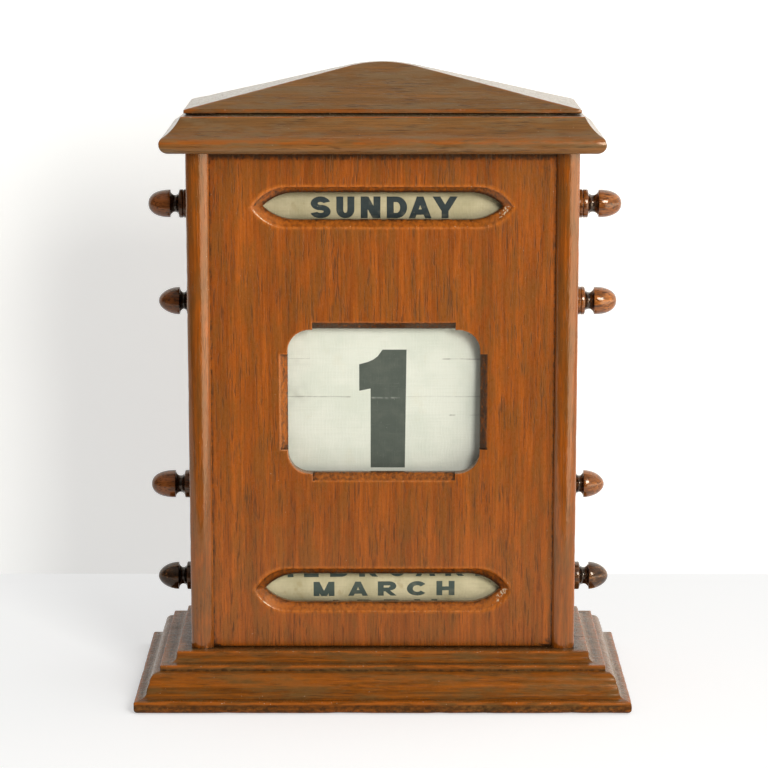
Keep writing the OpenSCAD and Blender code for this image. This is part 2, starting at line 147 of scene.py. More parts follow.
class Shell:
    """Points and faces of one piece in millimetres. Each point says how rubbed and how
    grimy the finish is there, from 0 to 1; the wear also paints light and the grime paints shade."""

    def __init__(self):
        self.points, self.faces, self.wear, self.grime_and_shade = [], [], [], []

    def ring(self, points, wear=0.0, grime_and_shade=0.0):
        """Adds points, with one wear and grime for all or a list, and returns them."""
        first = len(self.points)
        self.points += [tuple(p) for p in points]
        count = len(self.points) - first
        self.wear += wear if isinstance(wear, list) else [wear] * count
        self.grime_and_shade += grime_and_shade if isinstance(grime_and_shade, list) else [grime_and_shade] * count
        return list(range(first, first + count))

    def band(self, a, b, closed=True):
        for i in range(len(a) if closed else len(a) - 1):
            j = (i + 1) % len(a)
            self.faces.append((a[i], a[j], b[j], b[i]))

    def stack(self, rings, closed=True):
        """Joins each ring of points to the next one."""
        for a, b in zip(rings, rings[1:]):
            self.band(a, b, closed)

    def fill(self, outer, holes=(), flat=(0, 1), step=0.0, shade=None):
        """Fills a flat loop, leaves its holes open, and strews points over it so that
        wear and grime can change across it."""
        loops = [outer, *holes]
        across = 3 - sum(flat)
        level = self.points[outer[0]][across]
        drawn = [[tuple(self.points[i][k] for k in flat) for i in loop] for loop in loops]
        index = [i for loop in loops for i in loop]
        coords = [Vector(p) for loop in drawn for p in loop]
        edges, first = [], 0
        for loop in drawn:
            n = len(loop)
            edges += [(first + i, first + (i + 1) % n) for i in range(n)]
            first += n
        if step:
            edge = np.array([p for loop in drawn for p in loop])
            low, high = edge.min(0), edge.max(0)
            gx, gy = np.meshgrid(
                np.arange(low[0] + step, high[0] - step / 2, step),
                np.arange(low[1] + step, high[1] - step / 2, step),
            )
            gx, gy = gx.ravel(), gy.ravel()
            keep = inside(drawn[0], gx, gy)
            for hole in drawn[1:]:
                keep &= ~inside(hole, gx, gy)
            for x, y in zip(gx[keep], gy[keep]):
                if np.hypot(*(edge - (x, y)).T).min() > 0.55 * step:
                    place = [0.0, 0.0, 0.0]
                    place[flat[0]], place[flat[1]], place[across] = x, y, level
                    index += self.ring([place], *(shade(x, y) if shade else (0.0, 0.0)))
                    coords.append(Vector((x, y)))
        made = geometry.delaunay_2d_cdt(coords, edges, [], 1, 1e-6)
        places, faces, origins = made[0], made[2], made[3]
        if max(map(len, origins), default=0) < 1 or min(map(len, origins)) < 1:
            raise RuntimeError("a flat face crosses itself")
        middle = np.array([np.mean([places[i] for i in face], axis=0) for face in faces])
        open_here = np.zeros(len(faces), bool)
        for hole in drawn[1:]:
            open_here |= inside(hole, middle[:, 0], middle[:, 1])
        for face, skip in zip(faces, open_here):
            if not skip:
                self.faces.append(tuple(index[origins[i][0]] for i in face))

    def tunnel(self, x, y, steps, place, grime_and_shade=0.8):
        """A hole as rings of (radius, depth). Returns its first and last ring."""
        # The grime darkens the hole's walls: painted shade in the hole.
        rings = [
            self.ring([place(*p, depth) for p in circle(x, y, r, 28)], 0.0, grime_and_shade)
            for r, depth in steps
        ]
        self.stack(rings)
        return rings[0], rings[-1]

    def mesh(self, name, sharp=36, merge=0.001):
        made = bpy.data.meshes.new(name)
        made.from_pydata([[c * MM for c in p] for p in self.points], [], self.faces)
        for kind, values in (("wear", self.wear), ("grime_and_shade", self.grime_and_shade)):
            made.attributes.new(kind, "FLOAT", "POINT").data.foreach_set("value", values)
        made.validate()
        piece = bpy.data.objects.new(name, made)
        bpy.context.scene.collection.objects.link(piece)
        tidy_faces(made, merge * MM)
        made.shade_smooth()
        if sharp:
            made.set_sharp_from_angle(angle=math.radians(sharp))
        return piece


def tidy_faces(mesh, merge):
    """Joins points that meet, drops faces with no area and turns all faces outwards."""
    work = bmesh.new()
    work.from_mesh(mesh)
    bmesh.ops.remove_doubles(work, verts=work.verts, dist=merge)
    bmesh.ops.dissolve_degenerate(work, edges=work.edges, dist=merge)
    bmesh.ops.recalc_face_normals(work, faces=work.faces)
    work.to_mesh(mesh)
    work.free()


def roughen(piece, depth, scale, chips=0.0, seed=0.0):
    """Moves a piece's surface in and out a little, and rubs or chips its worn arrises."""
    mesh = piece.data
    n = len(mesh.vertices)
    co, normal, wear = np.zeros(n * 3), np.zeros(n * 3), np.zeros(n)
    mesh.vertices.foreach_get("co", co)
    mesh.vertices.foreach_get("normal", normal)
    mesh.attributes["wear"].data.foreach_get("value", wear)
    co, normal = co.reshape(-1, 3), normal.reshape(-1, 3)
    for i, p in enumerate(co / MM):
        shift = depth * ripple(*p, scale, seed)
        if chips and wear[i] > 0.3:
            # Knocks some 5 mm long, and finer ones between them
            shift -= chips * wear[i] * max(0.0, ripple(*p, 5.0, seed + 3) - 0.12) * 1.6
            shift -= 0.5 * chips * wear[i] * max(0.0, ripple(*p, 1.7, seed + 9) - 0.25)
        co[i] += normal[i] * shift * MM
    mesh.vertices.foreach_set("co", co.ravel())
    mesh.update()


def dress(piece, body, slot, finish, *nodes):
    """Gives a piece its finish and its body, and hides the frame nodes it stands for. `slot` is not used."""
    piece.data.materials.append(finish)
    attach(piece, body)
    if nodes:
        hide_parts(*nodes)


def coat_node(names, finish):
    """Gives frame nodes that stay in view a finish."""
    for name in names:
        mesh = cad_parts[name].data
        mesh.materials.clear()
        mesh.materials.append(finish)


# --- outlines ----------------------------------------------------------------------


def rectangle(half_w, half_d, corner, across=44, deep=20):
    """A rectangle with softened corners, counter-clockwise from the front left."""
    half_w, half_d = max(half_w, corner), max(half_d, corner)
    w, d = half_w - corner, half_d - corner
    sides = [
        ((-w, -half_d), (w, -half_d), (w, -d), -90, across),
        ((half_w, -d), (half_w, d), (w, d), 0, deep),
        ((w, half_d), (-w, half_d), (-w, d), 90, across),
        ((-half_w, d), (-half_w, -d), (-w, -d), 180, deep),
    ]
    points = []
    for start, end, centre, angle, count in sides:
        points += [mixed(start, end, i / count) for i in range(count + 1)]
        points += arc(*centre, corner, corner, angle, angle + 90, 4)[1:-1]
    return points


def bowed(start, end, swell, steps):
    """Points of a shallow curve that swells to the left of the way from start to end."""
    (x0, y0), (x1, y1) = start, end
    length = math.dist(start, end)
    left = (-(y1 - y0) / length, (x1 - x0) / length)
    shares = [(i / steps, 4 * swell * (i / steps) * (1 - i / steps)) for i in range(steps + 1)]
    return [(x0 + (x1 - x0) * t + left[0] * s, y0 + (y1 - y0) * t + left[1] * s) for t, s in shares]


def slot_loop(half_l, half_h, run, z):
    """A weekday or month window: straight, with a curved point at each end."""
    r = (run * run + half_h * half_h) / (2 * half_h)
    reach = math.degrees(math.atan2(run, r - half_h))
    right = arc(half_l - run, half_h - r, r, r, 90 - reach, 90, 14)
    straight = [(half_l - run - (half_l - run) * i / 12, half_h) for i in range(1, 12)]
    quarter = right + straight
    upper = quarter + [(0.0, half_h)] + [(-px, pz) for px, pz in reversed(quarter)]
    lower = [(px, -pz) for px, pz in reversed(upper)][1:-1]
    return [(px, z + pz) for px, pz in upper + lower]


def grown(loop, reach):
    """A closed loop moved out by `reach`, its corners kept mitred."""
    made = []
    for before, here, after in zip(loop[-1:] + loop[:-1], loop, loop[1:] + loop[:1]):
        normals = []
        for a, b in ((before, here), (here, after)):
            length = math.dist(a, b) or 1e-9
            normals.append(((b[1] - a[1]) / length, -(b[0] - a[0]) / length))
        nx, ny = normals[0][0] + normals[1][0], normals[0][1] + normals[1][1]
        scale = 2 * reach / max(nx * nx + ny * ny, 0.5)
        made.append((here[0] + nx * scale, here[1] + ny * scale))
    return made


# --- finishes ----------------------------------------------------------------------


class Nodes:
    """A tree of shader nodes, built up node by node."""

    def __init__(self, tree):
        self.tree = tree
        self.tree.nodes.clear()

    def node(self, kind, settings=None, **sockets):
        """A new node. An underscore in a socket's name stands for a space."""
        made = self.tree.nodes.new("ShaderNode" + kind)
        for key, value in (settings or {}).items():
            setattr(made, key, value)
        for key, value in sockets.items():
            self.plug(made.inputs[key.replace("_", " ")], value)
        return made

    def plug(self, socket, value):
        if isinstance(value, bpy.types.NodeSocket):
            self.tree.links.new(value, socket)
        elif socket.type == "RGBA":
            socket.default_value = (*value[:3], 1.0)
        else:
            socket.default_value = value

    def sum(self, operation, a, b, clamp=False):
        made = self.node("Math", {"operation": operation, "use_clamp": clamp})
        self.plug(made.inputs[0], a)
        self.plug(made.inputs[1], b)
        return made.outputs[0]

    def times(self, a, b, clamp=False):
        return self.sum("MULTIPLY", a, b, clamp)

    def plus(self, a, b):
        return self.sum("ADD", a, b)

    def step(self, value, low, high, start=0.0, end=1.0):
        """A soft step from `start` below `low` to `end` above `high`."""
        made = self.node("MapRange", {"interpolation_type": "SMOOTHSTEP"}, Value=value)
        for name, edge in (("From Min", low), ("From Max", high), ("To Min", start), ("To Max", end)):
            self.plug(made.inputs[name], edge)
        return made.outputs[0]

    def join(self, kind, *shaders, **sockets):
        """A node that adds or mixes shaders."""
        made = self.node(kind, **sockets)
        free = [socket for socket in made.inputs if socket.type == "SHADER"]
        for shader, socket in zip(shaders, free):
            self.tree.links.new(shader.outputs[0], socket)
        return made

    def end(self, kind, shader):
        """Ends the tree in an output node."""
        self.tree.links.new(shader.outputs[0], self.node(kind).inputs["Surface"])


class Finish(Nodes):
    """One material, built up layer by layer. `self.place` is the piece's own
    coordinates in metres, so that grain and weave stay with the piece."""

    def __init__(self, name):
        self.material = bpy.data.materials.new(name)
        self.material.use_nodes = True
        super().__init__(self.material.node_tree)
        self.place = self.node("TexCoord").outputs["Object"]

    def along(self, across, length, axis="Z", seed=0.0):
        """Coordinates in which one unit is `across` mm across the grain and `length`
        mm along it."""
        scale = [1 / (across * MM)] * 3
        scale["XYZ".index(axis)] = 1 / (length * MM)
        origin = (seed, 1.7 * seed, 0.6 * seed)
        return self.node("Mapping", Vector=self.place, Scale=scale, Location=origin).outputs[0]

    def cloud(self, across, length=None, axis="Z", seed=0.0, detail=2.0, rough=0.5, twist=0.0):
        """Noise from 0 to 1, stretched along the grain if a length is given."""
        place = self.along(across, length or across, axis, seed)
        noise_look = dict(Scale=1.0, Detail=detail, Roughness=rough, Distortion=twist)
        return self.node("TexNoise", Vector=place, **noise_look).outputs[0]

    def blend(self, a, b, share):
        """Colour a, with this share of colour b in it."""
        made = self.node("Mix", {"data_type": "RGBA"})
        for index, value in ((0, share), (6, a), (7, b)):
            self.plug(made.inputs[index], value)
        return made.outputs[2]

    def ramp(self, value, *stops):
        made = self.node("ValToRGB", Fac=value)
        ramp = made.color_ramp
        while len(ramp.elements) < len(stops):
            ramp.elements.new(0.5)
        for element, (at, colour) in zip(ramp.elements, stops):
            element.position = at
            element.color = (*colour[:3], 1.0)
        return made.outputs["Color"]

    def painted(self, name):
        """What the piece's points say, its "wear" or its "grime"."""
        return self.node("Attribute", {"attribute_name": name}).outputs["Fac"]

    def height(self, value, depth, normal=None):
        """Turns a height from 0 to 1 into a bump `depth` mm deep."""
        made = self.node("Bump", Height=value, Distance=depth * MM)
        if normal:
            self.plug(made.inputs["Normal"], normal)
        return made.outputs[0]

    def done(self, **sockets):
        self.end("OutputMaterial", self.node("BsdfPrincipled", **sockets))
        return self.material


# The tint of old varnish, a pale painted sheen for the wood seen edge-on, and bare filler in its pores
AMBER = (1.0, 0.72, 0.46)
EDGE_ON_SHEEN = srgb(128, 110, 76)
FILLER = srgb(222, 204, 172)


def oak(name, axis, tones, seed, grime_and_shade_tone=(58, 32, 14), arris=(196, 108, 34), pores=0.6, coat=0.8,
        gloss=0.22, haze=0.6, index=1.5):
    """Varnished open-pored oak. `tones` are its dark, middle and bright colour and the
    one of its hazy patches. Wear above 1 shows the pale filler under the varnish."""
    f = Finish(name)
    dark, middle, bright, hazy = tones
    wear, grime_and_shade = f.painted("wear"), f.painted("grime_and_shade")
    grime_and_shade_tone = srgb(*grime_and_shade_tone)

    # The wood: figure and fibre, hazy patches, a duller, paler painted sheen edge-on, and pores
    figure = f.cloud(4, 130, axis, seed, detail=3, twist=0.4)
    fibre = f.cloud(0.8, 24, axis, seed + 5, detail=3, rough=0.62)
    patch = f.cloud(6, 24, axis, seed + 17, detail=4, rough=0.66)
    tone = f.plus(f.times(figure, 0.45), f.times(fibre, 0.55))
    colour = f.ramp(tone, (0.36, dark), (0.5, middle), (0.64, bright))
    colour = f.blend(colour, hazy, f.step(patch, 0.42, 0.62, 0.0, haze))
    turned_away = f.node("LayerWeight", Blend=0.5).outputs["Facing"]
    colour = f.blend(colour, EDGE_ON_SHEEN, f.step(turned_away, 0.6, 0.9, 0.0, 0.8))
    pore = f.cloud(0.46, 8, axis, seed + 23, detail=1)
    pits = f.times(f.step(pore, 0.57, 0.66), f.step(f.cloud(6, 20, axis, seed + 29), 0.36, 0.6, 0.25, 1.0))
    colour = f.blend(colour, grime_and_shade_tone, f.times(pits, pores))

    # Use and light: rubbed arrises, paler too where the points paint light; grime and painted shade that
    # gather in spots; bare filler in chips, and pale flecks for scratches and painted glints
    scuffs = f.step(f.cloud(1.6, 9, axis, seed + 31, detail=3), 0.34, 0.6, 0.2, 1.0)
    colour = f.blend(colour, srgb(*arris), f.times(f.times(wear, scuffs, clamp=True), 0.75))
    soot = f.cloud(1.4, 2.2, axis, seed + 41, detail=4, rough=0.7)
    mottle = f.times(f.sum("SUBTRACT", soot, 0.5), f.step(grime_and_shade, 0.1, 0.5, 0.3, 1.9))
    soiled_and_shaded = f.times(f.step(f.plus(grime_and_shade, mottle), 0.1, 0.9), f.step(grime_and_shade, 0.02, 0.2))
    colour = f.blend(colour, grime_and_shade_tone, soiled_and_shaded)
    fleck = f.cloud(0.6, 1.0, axis, seed + 53, detail=1)
    chipped = f.step(f.plus(wear, f.times(f.sum("SUBTRACT", fleck, 0.5), 1.6)), 1.3, 1.5)
    flecks_and_glints = f.step(fleck, 0.8, 0.82, 0.0, 0.55)
    colour = f.blend(colour, FILLER, f.sum("MAXIMUM", chipped, flecks_and_glints))

    # The varnish
    rough = f.plus(f.step(soot, 0.3, 0.7, gloss, gloss + 0.1), f.times(pits, 0.15))
    relief = f.sum("SUBTRACT", f.times(fibre, 0.3), f.times(pits, 0.8))
    wood = dict(Base_Color=colour, Roughness=rough, Normal=f.height(relief, 0.05, f.height(patch, 0.3)))
    wood.update(Specular_IOR_Level=0.75 * coat, Specular_Tint=AMBER)
    varnish = dict(Coat_Weight=0.3 * coat, Coat_Roughness=gloss, Coat_IOR=index)
    return f.done(**wood, **varnish, Coat_Normal=f.height(relief, 0.02, f.height(patch, 0.25)))


def knob_wood(name, tones, seed, shine=1.0):
    """Turned and polished hardwood, near black in the necks where old polish sits."""
    f = Finish(name)
    dark, middle, bright = tones
    wear, grime_and_shade = f.painted("wear"), f.painted("grime_and_shade")
    grain = f.cloud(0.9, 7, "X", seed, detail=4, rough=0.6)
    broad = f.cloud(3.5, 12, "X", seed + 3, detail=2, twist=0.6)
    tone = f.plus(f.times(grain, 0.5), f.times(broad, 0.5))
    colour = f.ramp(tone, (0.36, dark), (0.5, middle), (0.64, bright))
    pits = f.step(f.cloud(0.5, 3.4, "X", seed + 7, detail=1), 0.54, 0.64)
    colour = f.blend(colour, srgb(48, 24, 10), f.times(pits, 0.7))
    chafed = f.times(wear, f.step(f.cloud(1.8, 2.6, "X", seed + 13, detail=3), 0.35, 0.6))
    colour = f.blend(colour, srgb(196, 112, 44), f.times(chafed, 0.5))
    old_polish = f.step(f.cloud(1.4, 2.0, "X", seed + 19, detail=3), 0.25, 0.65, 0.7, 1.0)
    colour = f.blend(colour, srgb(20, 12, 7), f.times(grime_and_shade, old_polish, clamp=True))
    turning = f.cloud(40, 0.4, "X", seed + 29, detail=1)
    wobble = f.cloud(2.2, 2.2, "X", seed + 37, detail=2)
    relief = f.sum("SUBTRACT", f.times(turning, 0.5), f.times(pits, 0.6))
    normal = f.height(relief, 0.03, f.height(wobble, 0.06))
    wood = dict(Base_Color=colour, Roughness=f.step(grain, 0.3, 0.7, 0.06, 0.12), Normal=normal)
    wood.update(Specular_IOR_Level=0.45 * shine, Specular_Tint=AMBER)
    polish = dict(Coat_Weight=0.4 * shine, Coat_Roughness=0.04, Coat_IOR=1.7)
    return f.done(**wood, **polish, Coat_Normal=f.height(wobble, 0.05))


def plain_wood(name, seed):
    """Bare turned beech for what lies inside the case."""
    f = Finish(name)
    grain = f.cloud(0.8, 14, "X", seed, detail=4, rough=0.6)
    fleck = f.step(f.cloud(0.35, 1.6, "X", seed + 5, detail=1), 0.56, 0.66)
    colour = f.ramp(grain, (0.35, srgb(150, 112, 70)), (0.6, srgb(192, 154, 106)))
    colour = f.blend(colour, srgb(118, 82, 50), f.times(fleck, 0.5))
    rough = f.step(grain, 0.3, 0.7, 0.5, 0.65)
    return f.done(Base_Color=colour, Roughness=rough, Normal=f.height(grain, 0.04))


# Millimetres from thread to thread
THREAD_PITCH = 0.62


def weave(f, seed):
    """Height of a plain weave in x and z, its threads thick and thin by turns."""
    wander = f.cloud(9, seed=seed, detail=2)
    sideways = f.node("CombineXYZ", X=wander, Z=wander).outputs[0]
    reach = 2.5 * THREAD_PITCH * MM
    shift = f.node("VectorMath", {"operation": "SCALE"}, Vector=sideways, Scale=reach)
    place = f.node("VectorMath", {"operation": "ADD"})
    f.plug(place.inputs[0], f.place)
    f.plug(place.inputs[1], shift.outputs[0])
    threads = []
    for axis, number in (("X", 1.0), ("Z", 1.12)):
        scale = number * 0.31416 / (THREAD_PITCH * MM)
        wave = f.node("TexWave", {"bands_direction": axis}, Vector=place.outputs[0], Scale=scale)
        size = (THREAD_PITCH, 26) if axis == "X" else (26, THREAD_PITCH)
        thick = f.step(f.cloud(*size, "Z", seed + 2, detail=1), 0.3, 0.7, 0.35, 1.0)
        threads.append(f.times(wave.outputs["Fac"], thick))
    return f.sum("MAXIMUM", *threads)


def cloth(name, base, shade, stain, seed, stains=0.35, thread=0.16):
    """Sized linen, yellowed in patches, with the threads showing."""
    f = Finish(name)
    threads = weave(f, seed)
    patch = f.cloud(22, seed=seed + 4, detail=4, rough=0.6)
    colour = f.blend(base, shade, f.step(patch, 0.36, 0.66))
    slub = f.cloud(30, 0.9, seed=seed + 6, detail=2)
    colour = f.blend(colour, shade, f.step(slub, 0.52, 0.68, 0.0, 0.3))
    colour = f.blend(colour, stain, f.step(f.times(threads, -1.0), -0.62, 0.0, 0.0, thread))
    blot = f.step(f.cloud(11, 14, seed=seed + 8, detail=5, rough=0.62), 0.56, 0.7)
    colour = f.blend(colour, stain, f.times(blot, stains))
    # The points' grime darkens the cloth; it also paints shade on the scroll by the window's edges and on the
    # weekday label's left end.
    colour = f.blend(colour, srgb(70, 54, 34), f.times(f.painted("grime_and_shade"), 0.9, clamp=True))
    linen = dict(Base_Color=colour, Normal=f.height(threads, 0.05), Specular_IOR_Level=0.3)
    return f.done(**linen, Roughness=f.step(patch, 0.3, 0.7, 0.72, 0.86), Sheen_Weight=0.05)


def ink(name, colour, worn, cloth_tone, seed):
    """Printing ink that has sunk into the cloth, thin where the threads stand up."""
    f = Finish(name)
    threads = weave(f, seed)
    patch = f.cloud(7, seed=seed + 3, detail=4, rough=0.65)
    tone = f.blend(colour, worn, f.step(patch, 0.4, 0.75, 0.0, 0.16))
    thin = f.times(f.step(threads, 0.7, 1.0), f.step(f.cloud(2.4, seed=seed + 5, detail=3), 0.45, 0.75))
    tone = f.blend(tone, worn, f.times(thin, 0.45))
    spot = f.step(f.cloud(0.8, seed=seed + 9, detail=1), 0.78, 0.82)
    tone = f.blend(tone, cloth_tone, f.times(spot, 0.3))
    tone = f.blend(tone, cloth_tone, f.times(f.painted("wear"), 0.32, clamp=True))
    printed = dict(Base_Color=tone, Normal=f.height(threads, 0.04), Specular_IOR_Level=0.35)
    return f.done(**printed, Roughness=f.step(patch, 0.3, 0.7, 0.6, 0.75))


def old_metal(name, bright, dull, seed):
    """Screw metal, dulled and scratched."""
    f = Finish(name)
    patch = f.cloud(1.6, seed=seed, detail=4, rough=0.6)
    colour = f.blend(srgb(*bright), srgb(*dull), f.step(patch, 0.38, 0.62))
    scratch = f.height(f.cloud(0.12, 3, "X", seed + 3, detail=2), 0.01)
    rough = f.step(patch, 0.3, 0.7, 0.3, 0.62)
    return f.done(Base_Color=colour, Roughness=rough, Normal=scratch, Metallic=0.9)


def stage_white(name, tone, own):
    """Matt white, clear from behind. The camera and reflections also see `own` of plain
    white in it."""
    f = Finish(name)
    surface = f.node("BsdfDiffuse", Color=f.blend(tone, darker(tone, 0.02), f.cloud(160, seed=3.0, detail=1)))
    glow = f.node("Emission", Color=(1.0, 1.0, 1.0), Strength=own)
    rays = f.node("LightPath").outputs
    seen = f.sum("MAXIMUM", rays["Is Camera Ray"], rays["Is Glossy Ray"])
    seen = f.sum("MAXIMUM", seen, rays["Is Transmission Ray"])
    front = f.join("MixShader", surface, f.join("AddShader", surface, glow), Fac=seen)
    behind = f.node("NewGeometry").outputs["Backfacing"]
    f.end("OutputMaterial", f.join("MixShader", front, f.node("BsdfTransparent"), Fac=behind))
    return f.material


# --- lettering ---------------------------------------------------------------------

FULL = (0, 360)


class Letters:
    """Plain heavy capitals made from overlapping strokes. `width` and `height` are a
    letter's box, `stem` and `bar` the weight of its upright and level strokes."""

    STROKES = {
        "A": [("slant", 0, 0.5), ("slant", 1, 0.5), ("beam", 0.22, 0.2, 0.8)],
        "B": [("stem", 0), ("beam", 0, 0, 0.6), ("beam", 0.52, 0, 0.6), ("beam", 1, 0, 0.58),
              ("bow", 0.58, 0.74, 0.38, 0.26, -90, 90), ("bow", 0.6, 0.29, 0.4, 0.29, -90, 90)],
        "C": [("bow", 0.5, 0.5, 0.5, 0.5, 38, 322)],
        "D": [("stem", 0), ("beam", 0, 0, 0.5), ("beam", 1, 0, 0.5),
              ("bow", 0.48, 0.5, 0.52, 0.5, -90, 90)],
        "E": [("stem", 0), ("beam", 0), ("beam", 0.5, 0, 0.9), ("beam", 1)],
        "F": [("stem", 0), ("beam", 0.46, 0, 0.86), ("beam", 1)],
        "G": [("bow", 0.5, 0.5, 0.5, 0.5, 40, 325), ("beam", 0.42, 0.52, 1), ("stem", 1, 0.06, 0.5)],
        "H": [("stem", 0), ("stem", 1), ("beam", 0.5)],
        "I": [("stem", 0.5)],
        "J": [("stem", 1, 0.3, 1), ("bow", 0.5, 0.32, 0.5, 0.32, 180, 360), ("stem", 0, 0.24, 0.36)],
        "L": [("stem", 0), ("beam", 0)],
        "M": [("stem", 0), ("stem", 1), ("slant", 0.5, 0), ("slant", 0.5, 1)],
        "N": [("stem", 0), ("stem", 1), ("slant", 1, 0)],
        "O": [("bow", 0.5, 0.5, 0.5, 0.5, *FULL)],
        "P": [("stem", 0), ("beam", 1, 0, 0.6), ("beam", 0.44, 0, 0.6),
              ("bow", 0.6, 0.69, 0.4, 0.31, -90, 90)],
        "R": [("stem", 0), ("beam", 1, 0, 0.6), ("beam", 0.44, 0, 0.6),
              ("bow", 0.6, 0.69, 0.38, 0.31, -90, 90), ("slant", 1, 0.4, 0, 0.46)],
        "S": [("curl", 1, 14, 270), ("curl", 0, 90, -166)],
        "T": [("stem", 0.5), ("beam", 1)],
        "U": [("stem", 0, 0.4, 1), ("stem", 1, 0.4, 1), ("bow", 0.5, 0.41, 0.5, 0.41, 180, 360)],
        "V": [("slant", 0.5, 0), ("slant", 0.5, 1)],
        "W": [("slant", 0.26, 0), ("slant", 0.26, 0.5), ("slant", 0.74, 0.5), ("slant", 0.74, 1)],
        "Y": [("slant", 0.5, 0, 0.36, 1), ("slant", 0.5, 1, 0.36, 1), ("stem", 0.5, 0, 0.48)],
    }
    WIDTHS = {"S": 0.97, "U": 0.86, "N": 0.94, "D": 0.97, "A": 1.08, "Y": 1.2, "M": 1.13, "O": 1.04,
              "T": 0.92, "E": 0.8, "W": 1.42, "H": 0.98, "R": 1.02, "F": 0.76, "I": 0.0, "J": 0.7,
              "B": 0.96, "C": 1.12, "P": 0.9, "L": 0.78, "G": 1.08, "V": 1.02}

    def __init__(self, height, stem, bar, stretch=1.0):
        self.height, self.stem_w, self.bar_h, self.stretch = height, stem, bar, stretch
        self.cut = {}

    def width(self, letter):
        return max(self.WIDTHS[letter] * self.height * self.stretch, self.stem_w)

    def strokes(self, letter):
        w, h, s, b = self.width(letter), self.height, self.stem_w, self.bar_h
        for kind, *sizes in self.STROKES[letter]:
            if kind == "stem":
                u, low, high = (*sizes, 0, 1)[:3] if len(sizes) == 1 else sizes
                x = u * (w - s)
                yield [(x, low * h), (x + s, low * h), (x + s, high * h), (x, high * h)]
            elif kind == "beam":
                v, left, right = (*sizes, 0, 1)[:3] if len(sizes) == 1 else sizes
                y = v * (h - b)
                yield [(left * w, y), (right * w, y), (right * w, y + b), (left * w, y + b)]
            elif kind == "slant":
                foot, head, low, high = (*sizes, 0, 1)[:4] if len(sizes) == 2 else sizes
                thick = s * {"A": 0.92, "M": 1.0, "W": 1.0, "R": 1.0}.get(letter, 1.1)
                x0, x1 = foot * (w - thick), head * (w - thick)
                yield [(x0, low * h), (x0 + thick, low * h), (x1 + thick, high * h), (x1, high * h)]
            else:
                if kind == "curl":
                    top, start, end = sizes
                    rv = 0.5 * (0.5 + b / h / 2)
                    cu, cv, ru = 0.5, 1 - rv if top else rv, 0.48 if top else 0.5
                else:
                    cu, cv, ru, rv, start, end = sizes
                outer = arc(cu * w, cv * h, ru * w, rv * h, start, end, 26)
                inner = arc(cu * w, cv * h, ru * w - s, max(rv * h - b, 0.15), start, end, 26)
                for i in range(26):
                    yield [outer[i], outer[i + 1], inner[i + 1], inner[i]]

    def flat(self, letter, rows=0.8):
        """The letter's points and triangles, cut into level rows."""
        if letter not in self.cut:
            coords, faces, edges = [], [], []
            for stroke in self.strokes(letter):
                if sum(a[0] * b[1] - b[0] * a[1] for a, b in zip(stroke, stroke[1:] + stroke[:1])) < 0:
                    stroke = stroke[::-1]
                faces.append(list(range(len(coords), len(coords) + len(stroke))))
                coords += [Vector(p) for p in stroke]
            count = max(1, round(self.height / rows))
            for i in range(1, count):
                y = self.height * i / count
                edges.append((len(coords), len(coords) + 1))
                coords += [Vector((-1.0, y)), Vector((self.width(letter) + 1.0, y))]
            made = geometry.delaunay_2d_cdt(coords, edges, faces, 0, 1e-5)
            inked = [face for face, source in zip(made[2], made[5]) if source]
            self.cut[letter] = [tuple(p) for p in made[0]], inked
        return self.cut[letter]

    def word(self, text, gap, widest):
        """Lays a word out about its middle. Returns its points and triangles."""
        widths = [self.width(c) for c in text]
        gaps = [gap - KERN.get(pair, 0.0) * gap for pair in zip(text, text[1:])]
        total = sum(widths) + sum(gaps)
        squeeze = min(1.0, (widest - sum(widths)) / max(sum(gaps), 1e-6)) if total > widest else 1.0
        x = -(sum(widths) + squeeze * sum(gaps)) / 2
        points, faces = [], []
        for i, letter in enumerate(text):
            places, triangles = self.flat(letter)
            faces += [tuple(k + len(points) for k in face) for face in triangles]
            points += [(x + px, py) for px, py in places]
            x += widths[i] + (squeeze * gaps[i] if i < len(gaps) else 0)
        return points, faces


# How much narrower the gap between two letters is, as a share of it
KERN = {("D", "A"): 0.72, ("A", "Y"): 0.85, ("T", "U"): 0.3, ("S", "U"): 0.1, ("R", "Y"): 0.75,
        ("T", "A"): 0.6, ("A", "T"): 0.6, ("F", "R"): 0.1, ("L", "Y"): 0.4, ("A", "R"): 0.14,
        ("P", "R"): 0.1, ("U", "A"): 0.1, ("M", "A"): -0.2, ("F", "E"): 0.8,
        ("R", "C"): 0.1, ("C", "H"): 0.22}


# --- settings ----------------------------------------------------------------------


def length(name, description, value):
    return FloatProperty(
        name=name, description=description, default=value * MM, min=0.0, unit="LENGTH", precision=5
    )


def tone(name, description, *rgb):
    return FloatVectorProperty(
        name=name, description=description, default=srgb(*rgb), size=3, min=0.0, max=1.0, subtype="COLOR"
    )


class CaseSizes(bpy.types.PropertyGroup):
    """Details of the boards, in addition to the sizes that the frame gives"""

    toe_out: length("Toe", "How far the base's toe stands out from its flat top", 17.7)
    mitre_r: length("Mitre rounding", "Radius of the corners of the mouldings", 0.55)
    nose_r: length("Nose radius", "Radius of the side boards' rounded front edge", 6.5)
    groove: length("Groove", "Depth of the grooves that hold the front panel", 3.0)
    ledge: length("Ledge", "Width of the ledge that holds the back board", 5.0)
    arris_r: length("Arris rounding", "Radius of the boards' softened edges", 0.45)
    unevenness: length("Unevenness", "Depth of the hand-planed waviness", 0.07)
    chips: length("Chips", "Depth of the knocks on worn edges", 0.3)


